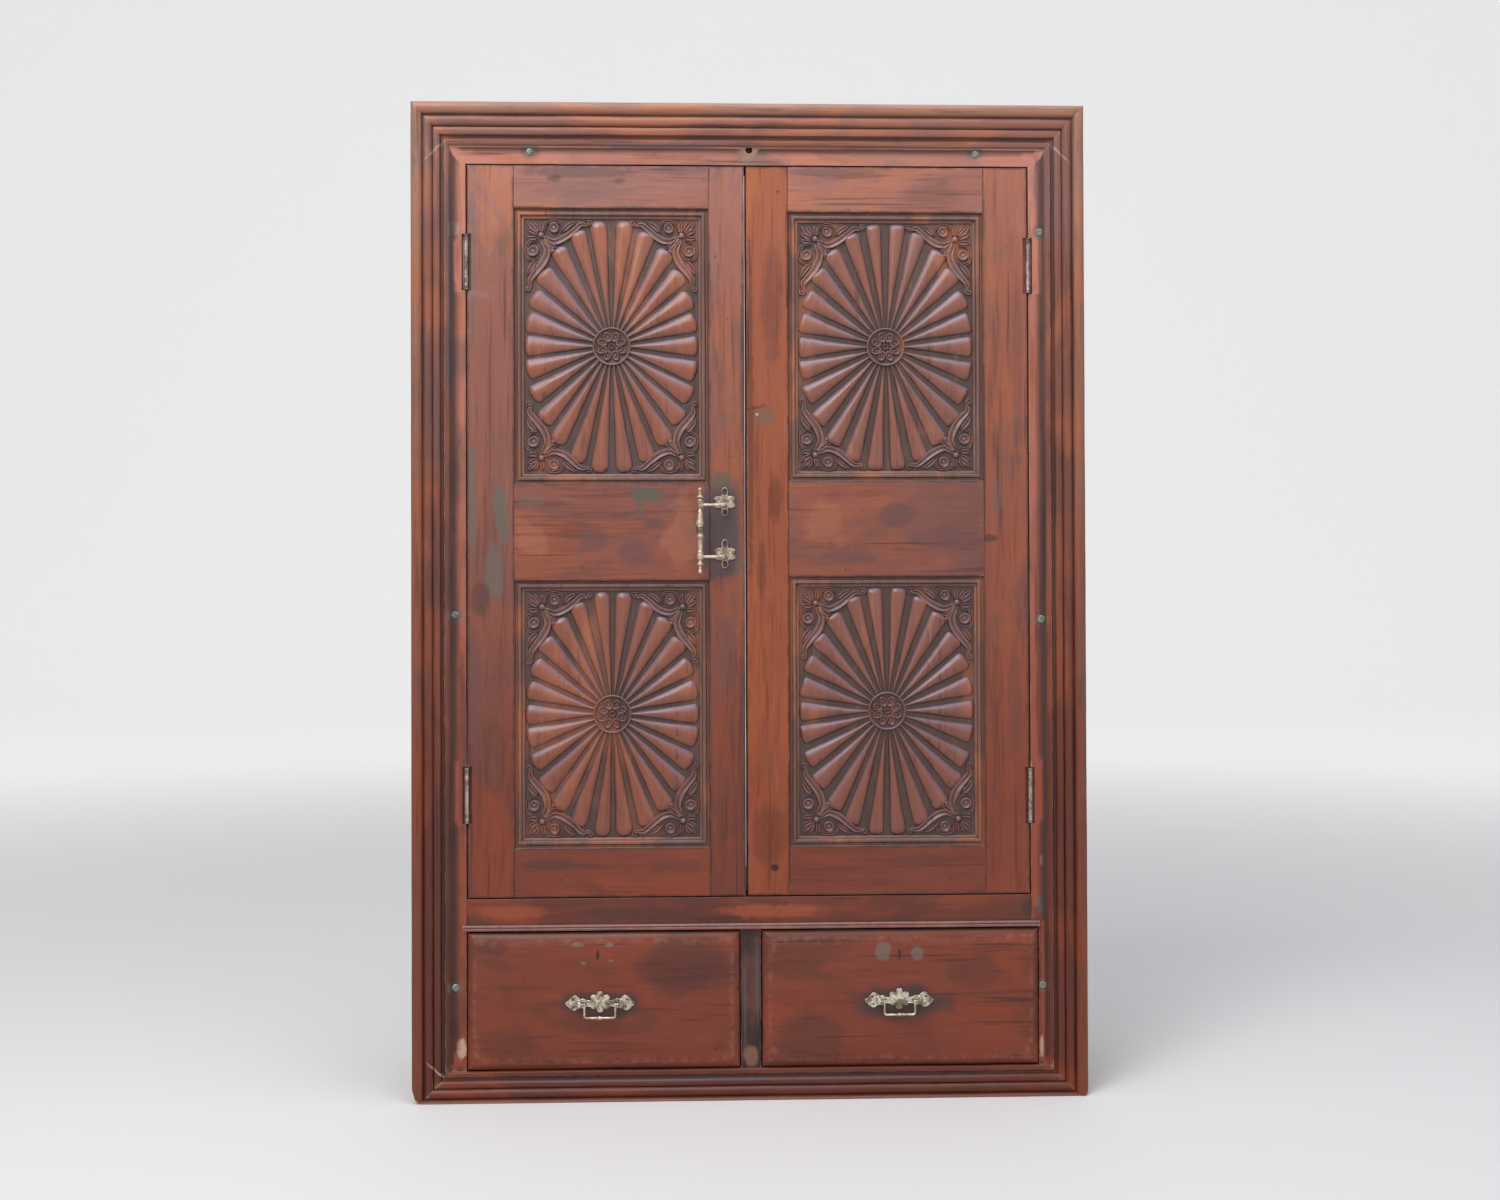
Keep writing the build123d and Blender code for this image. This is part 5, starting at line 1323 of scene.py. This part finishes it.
class DOOR_OT_drawer_pulls(DoorOperator):
    """Brass drop handles with scrolled, flowered back plates"""
    bl_idname = "door.drawer_pulls"
    bl_label = "Drawer pulls"

    def execute(self, context):
        tones = self.tones
        bright = colour(214, 204, 184)
        brass = metal("dull_brass", darker(tones.brass, 0.62), bright, colour(56, 48, 36), 0.34, 0.85, 9.0, 0.6, hollow=(-0.0104, -0.0090))
        bail_brass = metal("bail_brass", tones.brass, bright, colour(60, 52, 40), 0.3, 0.85, 10.0, 0.35)
        for side in ("left", "right"):
            low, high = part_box(side + "_drawer_plate")
            bail_low, bail_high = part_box(side + "_drawer_bail")
            x = (bail_low.x + bail_high.x) / 2
            self.plate(side, brass, x, low, high)
            self.bail(side, bail_brass, x, bail_low, bail_high)
        return {"FINISHED"}

    def plate(self, side, brass, x, low, high):
        """Back plate: waist, scrolled ends with piercings, six-lobed flower and two ball posts."""
        z = 0.170
        face = -0.008
        half = (high.x - low.x) / 2
        upper = []
        for step in range(61):
            share = step / 60
            place = -half + 2 * half * share
            away = abs(place)
            crest = 0.0052 + 0.0088 * math.exp(-((away - 0.044) / 0.0085) ** 2)
            crest += 0.0030 * math.exp(-((away - 0.029) / 0.0035) ** 2)
            crest *= min(1.0, ((half - away) / 0.009 + 0.08)) ** 0.6
            upper.append((x + place, z + crest))
        lower = []
        for step in range(61):
            share = step / 60
            place = half - 2 * half * share
            away = abs(place)
            drop = 0.0050 + 0.0070 * math.exp(-((away - 0.046) / 0.0085) ** 2)
            drop += 0.0028 * math.exp(-((away - 0.030) / 0.0035) ** 2)
            drop *= min(1.0, ((half - away) / 0.009 + 0.08)) ** 0.6
            lower.append((x + place, z - drop))
        outline = upper + lower[1:-1]
        holes = []
        for turn in (-1, 1):
            holes.append(circle(x + turn * 0.0475, z + 0.0066, 0.0024, 14))
            holes.append(circle(x + turn * 0.0455, z - 0.0060, 0.0020, 14))
            holes.append(circle(x + turn * 0.0245, z + 0.0008, 0.0017, 12))
            holes.append(circle(x + turn * 0.0560, z + 0.0002, 0.0014, 10))
        forms = [plate_from_outline("strip", [outline] + holes, face - 0.0022, 0.0022, 0.0006)]
        for edge in (upper, lower):
            rim = [Vector((px, face - 0.0021, z + (pz - z) * 0.90)) for px, pz in edge[2:-2]]
            forms.append(tube(rim, 0.0008, 8))
        flower = lobed(x, z + 0.003, 0.0105, 0.0082, 6, math.radians(30))
        forms.append(plate_from_outline("flower", [flower], face - 0.0026, 0.0014, 0.0005))
        centre = Vector((x, z + 0.003))
        for index in range(6):
            way = math.radians(30 + 60 * index)
            out = Vector((math.cos(way), math.sin(way)))
            path = [centre + out * (0.002 + 0.0165 * step / 8) for step in range(9)]
            forms.append(leaf_form(path, 0.0105, 0.0030, face - 0.0022, 0.45, 3, 2.0))
        forms.append(lathe([(0.0056, 0.0), (0.0058, 0.0012), (0.0046, 0.0022), (0.0030, 0.0024), (0.0028, 0.0036), (0.0002, 0.0044)],
                           20, axis_matrix((x, face - 0.0024, z + 0.003), (0, -1, 0))))
        for turn in (-1, 1):
            post = [(0.0060, 0.0), (0.0058, 0.0014), (0.0040, 0.0030), (0.0034, 0.0052), (0.0044, 0.0068),
                    (0.0046, 0.0105), (0.0043, 0.0128), (0.0030, 0.0144), (0.0003, 0.0150)]
            points, faces = lathe(post, 20, axis_matrix((x + turn * 0.0365, face, z), (0, -1, 0)))
            forms.append(([Vector((p.x, p.y, z + (p.z - z) * 1.5)) for p in points], faces))
            for ring in range(3):
                spot = Vector((x + turn * (0.050 - 0.004 * ring), z + 0.0010 - 0.0040 * ring))
                forms.append(lathe_boss(spot, 0.0017, 0.0012, face - 0.0021, 10))
        mesh = joined(side + "_plate_mesh", forms, math.radians(45))
        for vert in mesh.vertices:
            for axis in range(3):
                vert.co[axis] = min(max(vert.co[axis], low[axis]), high[axis])
        put(f"brass_{side}_drawer_plate", mesh, brass, side + "_drawer", [side + "_drawer_plate"])

    def bail(self, side, brass, x, low, high):
        """Drop handle: pins, two curled arms and a bar with three beads at its middle."""
        y = (low.y + high.y) / 2
        z = 0.170
        half = 0.027
        down = z - 0.0235
        path = rounded([
            Vector((x - half, y, z + 0.0018)), Vector((x - half, y, down)), Vector((x + half, y, down)),
            Vector((x + half, y, z + 0.0018)),
        ], 0.005, 8)
        forms = [tube(path, 0.0021, 12)]
        for turn in (-1, 1):
            pin = rounded([Vector((x + turn * half, y, z)), Vector((x + turn * 0.0375, y, z)), Vector((x + turn * 0.0380, y, z))], 0.0001, 1)
            forms.append(tube([pin[0], pin[-1]], 0.0016, 12))
            forms.append(lathe([(0.0008, 0.0), (0.0024, 0.0008), (0.0027, 0.0022), (0.0022, 0.0038), (0.0008, 0.0044)], 14,
                               axis_matrix((x + turn * half, y, z - 0.0020), (0, 0, 1))))
        bead = [(0.0018, -0.0070), (0.0027, -0.0060), (0.0024, -0.0044), (0.0021, -0.0036), (0.0031, -0.0022), (0.0033, 0.0),
                (0.0031, 0.0022), (0.0021, 0.0036), (0.0024, 0.0044), (0.0027, 0.0060), (0.0018, 0.0070)]
        forms.append(lathe(bead, 16, axis_matrix((x, y, down), (1, 0, 0))))
        mesh = joined(side + "_bail_mesh", forms, math.radians(50))
        put(f"brass_{side}_drawer_bail", mesh, brass, side + "_bail", [side + "_drawer_bail"])


def screw_tree():
    """Slotted screw heads copied onto points, each turned by a seeded random angle."""
    tree, given = geometry_tree("Screw Heads", [
        ("Head", "NodeSocketObject", None),
        ("Material", "NodeSocketMaterial", None),
        ("Seed", "NodeSocketInt", 1),
    ])
    get = given.outputs
    turn = add(tree, "FunctionNodeRandomValue", {2: 0.0, 3: 3.1, "Seed": get["Seed"]}, data_type="FLOAT")
    spin = add(tree, "ShaderNodeCombineXYZ", {1: turn.outputs[1]})
    shape = add(tree, "GeometryNodeObjectInfo", {"Object": get["Head"]})
    copies = add(tree, "GeometryNodeInstanceOnPoints", {
        "Points": get["Geometry"], "Instance": shape.outputs["Geometry"], "Rotation": spin.outputs[0],
    })
    real = add(tree, "GeometryNodeRealizeInstances", {0: copies.outputs[0]})
    finish = add(tree, "GeometryNodeSetMaterial", {"Geometry": real.outputs[0], "Material": get["Material"]})
    out = tree.nodes.new("NodeGroupOutput")
    tree.links.new(finish.outputs[0], out.inputs[0])
    return tree


def screw_head(radius, height):
    """Domed head with a straight slot, facing -Y, as points and faces."""
    rings = [(1.0, -0.3), (1.0, 0.15), (0.93, 0.45), (0.74, 0.75), (0.45, 0.95), (0.20, 1.0)]
    points, faces = lathe([(r * radius, h * height) for r, h in rings], 28, axis_matrix((0, 0, 0), (0, -1, 0)))
    for index, point in enumerate(points):
        if abs(point.z) < radius * 0.16 and point.y < -0.1 * height:
            points[index] = Vector((point.x, point.y + height * 0.55, point.z))
    return points, faces


class DOOR_OT_screws(DoorOperator):
    """Slotted screw heads that hold the frame"""
    bl_idname = "door.screws"
    bl_label = "Screws and pegs"

    def execute(self, context):
        iron = metal("screw_iron", colour(108, 106, 98), colour(142, 142, 132), colour(46, 40, 34), 0.55, 0.5, 12.0, 0.6)
        groups = self.islands("frame_screws")
        checked(len(groups) == 7, "seven frame screws are expected")
        mesh = joined("screw_shape", [screw_head(0.0069, 0.0023)])
        head = bpy.data.objects.new("screw_shape", mesh)
        bpy.context.scene.collection.objects.link(head)
        tree = screw_tree()
        source = bpy.data.meshes.new("screw_points")
        source.from_pydata([(x, 0.0, z) for x, z in groups], [], [])
        result = grown("frame_screw_heads", tree, source, {"Head": head, "Material": iron, "Seed": 4})
        smooth(result, math.radians(45))
        put("iron_frame_screws", result, iron, "frame", ["frame_screws"])
        bpy.data.objects.remove(head)
        return {"FINISHED"}

    def islands(self, node):
        """Middle of each separate solid of a node, from the front."""
        work = bmesh.new()
        work.from_mesh(NODES[node].data)
        bmesh.ops.remove_doubles(work, verts=work.verts, dist=1e-5)
        left = set(work.verts)
        middles = []
        while left:
            stack = [left.pop()]
            group = list(stack)
            while stack:
                vert = stack.pop()
                for edge in vert.link_edges:
                    other = edge.other_vert(vert)
                    if other in left:
                        left.remove(other)
                        stack.append(other)
                        group.append(other)
            xs = [v.co.x for v in group]
            zs = [v.co.z for v in group]
            middles.append(((min(xs) + max(xs)) / 2, (min(zs) + max(zs)) / 2))
        work.free()
        return sorted(middles)


def seen_directly(tree):
    """1 for camera, glossy and transmission rays."""
    ray = add(tree, "ShaderNodeLightPath").outputs
    seen = calc(tree, "MAXIMUM", ray["Is Camera Ray"], ray["Is Glossy Ray"])
    return calc(tree, "MAXIMUM", seen, ray["Is Transmission Ray"])


class DOOR_OT_stage(DoorOperator):
    """Pale floor and backdrop, soft lamps and the camera of the photograph"""
    bl_idname = "door.stage"
    bl_label = "Stage"

    def execute(self, context):
        scene = bpy.context.scene
        scene.view_settings.view_transform = "Standard"
        self.backdrop()
        self.lamps()
        forward = Vector((
            math.sin(CAMERA_YAW) * math.cos(CAMERA_PITCH), math.cos(CAMERA_YAW) * math.cos(CAMERA_PITCH),
            math.sin(CAMERA_PITCH),
        ))
        right = Vector((math.cos(CAMERA_YAW), -math.sin(CAMERA_YAW), 0))
        up = right.cross(forward)
        turned_right = right * math.cos(CAMERA_ROLL) + up * math.sin(CAMERA_ROLL)
        turned_up = up * math.cos(CAMERA_ROLL) - right * math.sin(CAMERA_ROLL)
        lens = bpy.data.cameras.new("photo_camera")
        lens.sensor_fit = "HORIZONTAL"
        lens.sensor_width = SENSOR_MM
        lens.lens = SENSOR_MM * LENS_PER_WIDTH
        lens.clip_end = 60
        camera = bpy.data.objects.new("photo_camera", lens)
        scene.collection.objects.link(camera)
        camera.matrix_world = Matrix((
            (turned_right.x, turned_up.x, -forward.x, CAMERA_AT[0]),
            (turned_right.y, turned_up.y, -forward.y, CAMERA_AT[1]),
            (turned_right.z, turned_up.z, -forward.z, CAMERA_AT[2]),
            (0, 0, 0, 1),
        ))
        scene.camera = camera
        return {"FINISHED"}

    def backdrop(self):
        """Floor that curves up into a wall far behind, so that no view from behind meets it."""
        bend, radius, reach = 9.0, 2.0, 14.0
        rows = [(-reach, 0.0), (bend, 0.0)]
        for step in range(1, 13):
            way = math.pi / 2 * step / 12
            rows.append((bend + radius * math.sin(way), radius - radius * math.cos(way)))
        rows.append((bend + radius, 9.0))
        points = []
        for y, z in rows:
            points += [(-reach, y, z - 0.0002), (reach, y, z - 0.0002)]
        mesh = bpy.data.meshes.new("floor")
        mesh.from_pydata(points, [], [(2 * i, 2 * i + 1, 2 * i + 3, 2 * i + 2) for i in range(len(rows) - 1)])
        mesh.polygons.foreach_set("use_smooth", [True] * len(mesh.polygons))
        made, tree, shader, place = new_material("pale_floor")
        shader.inputs["Base Color"].default_value = (0.84, 0.83, 0.82, 1)
        shader.inputs["Roughness"].default_value = 0.7
        away = add(tree, "ShaderNodeVectorMath", {0: place}, operation="LENGTH").outputs["Value"]
        glow = calc(tree, "MULTIPLY", seen_directly(tree), steps(tree, away, 1.5, 8.0, to=(0.0, 0.42)))
        shader.inputs["Emission Color"].default_value = (1, 1, 1, 1)
        tree.links.new(glow, shader.inputs["Emission Strength"])
        floor = bpy.data.objects.new("floor", mesh)
        bpy.context.scene.collection.objects.link(floor)
        mesh.materials.append(made)

    def lamps(self):
        """Large soft key from the upper left, a weak fill from the right and pale surroundings."""
        plan = (
            ("key", (-1.7, -3.0, 4.2), 2.2, 120.0, (1.0, 0.99, 0.975)),
            ("fill", (3.0, -3.6, 1.4), 2.8, 16.0, (1.0, 0.985, 0.97)),
            ("sky", (0.1, -1.1, 4.4), 2.4, 62.0, (0.86, 0.92, 1.0)),
        )
        for name, at, size, power, tint in plan:
            lamp = bpy.data.lights.new(name, "AREA")
            lamp.shape = "SQUARE"
            lamp.size = size
            lamp.energy = power
            lamp.color = tint
            holder = bpy.data.objects.new(name, lamp)
            bpy.context.scene.collection.objects.link(holder)
            holder.matrix_world = axis_matrix(at, Vector(at) - Vector((0, 0, 0.85)))
        world = bpy.data.worlds.new("surroundings")
        bpy.context.scene.world = world
        world.use_nodes = True
        tree = world.node_tree
        tree.nodes.clear()
        power = steps(tree, seen_directly(tree), 0.0, 1.0, False, (0.42, 0.92))
        shine = add(tree, "ShaderNodeBackground", {"Color": (0.94, 0.96, 1.0, 1), "Strength": power})
        out = tree.nodes.new("ShaderNodeOutputWorld")
        tree.links.new(shine.outputs[0], out.inputs[0])


class DOOR_PT_panel(bpy.types.Panel):
    """Buttons and values of the cupboard front"""
    bl_label = "Cupboard Front"
    bl_idname = "DOOR_PT_panel"
    bl_space_type = "VIEW_3D"
    bl_region_type = "UI"
    bl_category = "Cupboard"

    def draw(self, context):
        column = self.layout.column(align=True)
        for operator in OPERATORS:
            column.operator(operator.bl_idname)
        for group in (context.scene.door_carving, context.scene.door_colours):
            box = self.layout.box()
            for name in group.__annotations__:
                box.prop(group, name)


OPERATORS = (
    DOOR_OT_frame_members, DOOR_OT_door_boards, DOOR_OT_carved_panels, DOOR_OT_drawers, DOOR_OT_hinges,
    DOOR_OT_door_pull, DOOR_OT_drawer_pulls, DOOR_OT_screws, DOOR_OT_stage,
)
CLASSES = (DoorColours, CarvingSizes, *OPERATORS, DOOR_PT_panel)


NOISE_SEED = 11


def register():
    """Add the classes; noise_vector starts from a random offset in each run unless it is seeded."""
    noise.seed_set(NOISE_SEED)
    for item in CLASSES:
        bpy.utils.register_class(item)
    bpy.types.Scene.door_colours = bpy.props.PointerProperty(type=DoorColours)
    bpy.types.Scene.door_carving = bpy.props.PointerProperty(type=CarvingSizes)


def unregister():
    del bpy.types.Scene.door_carving
    del bpy.types.Scene.door_colours
    for item in reversed(CLASSES):
        bpy.utils.unregister_class(item)


def main():
    register()
    for operator in OPERATORS:
        group, name = operator.bl_idname.split(".")
        getattr(getattr(bpy.ops, group), name)()
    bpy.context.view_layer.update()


if __name__ == "__main__":
    main()
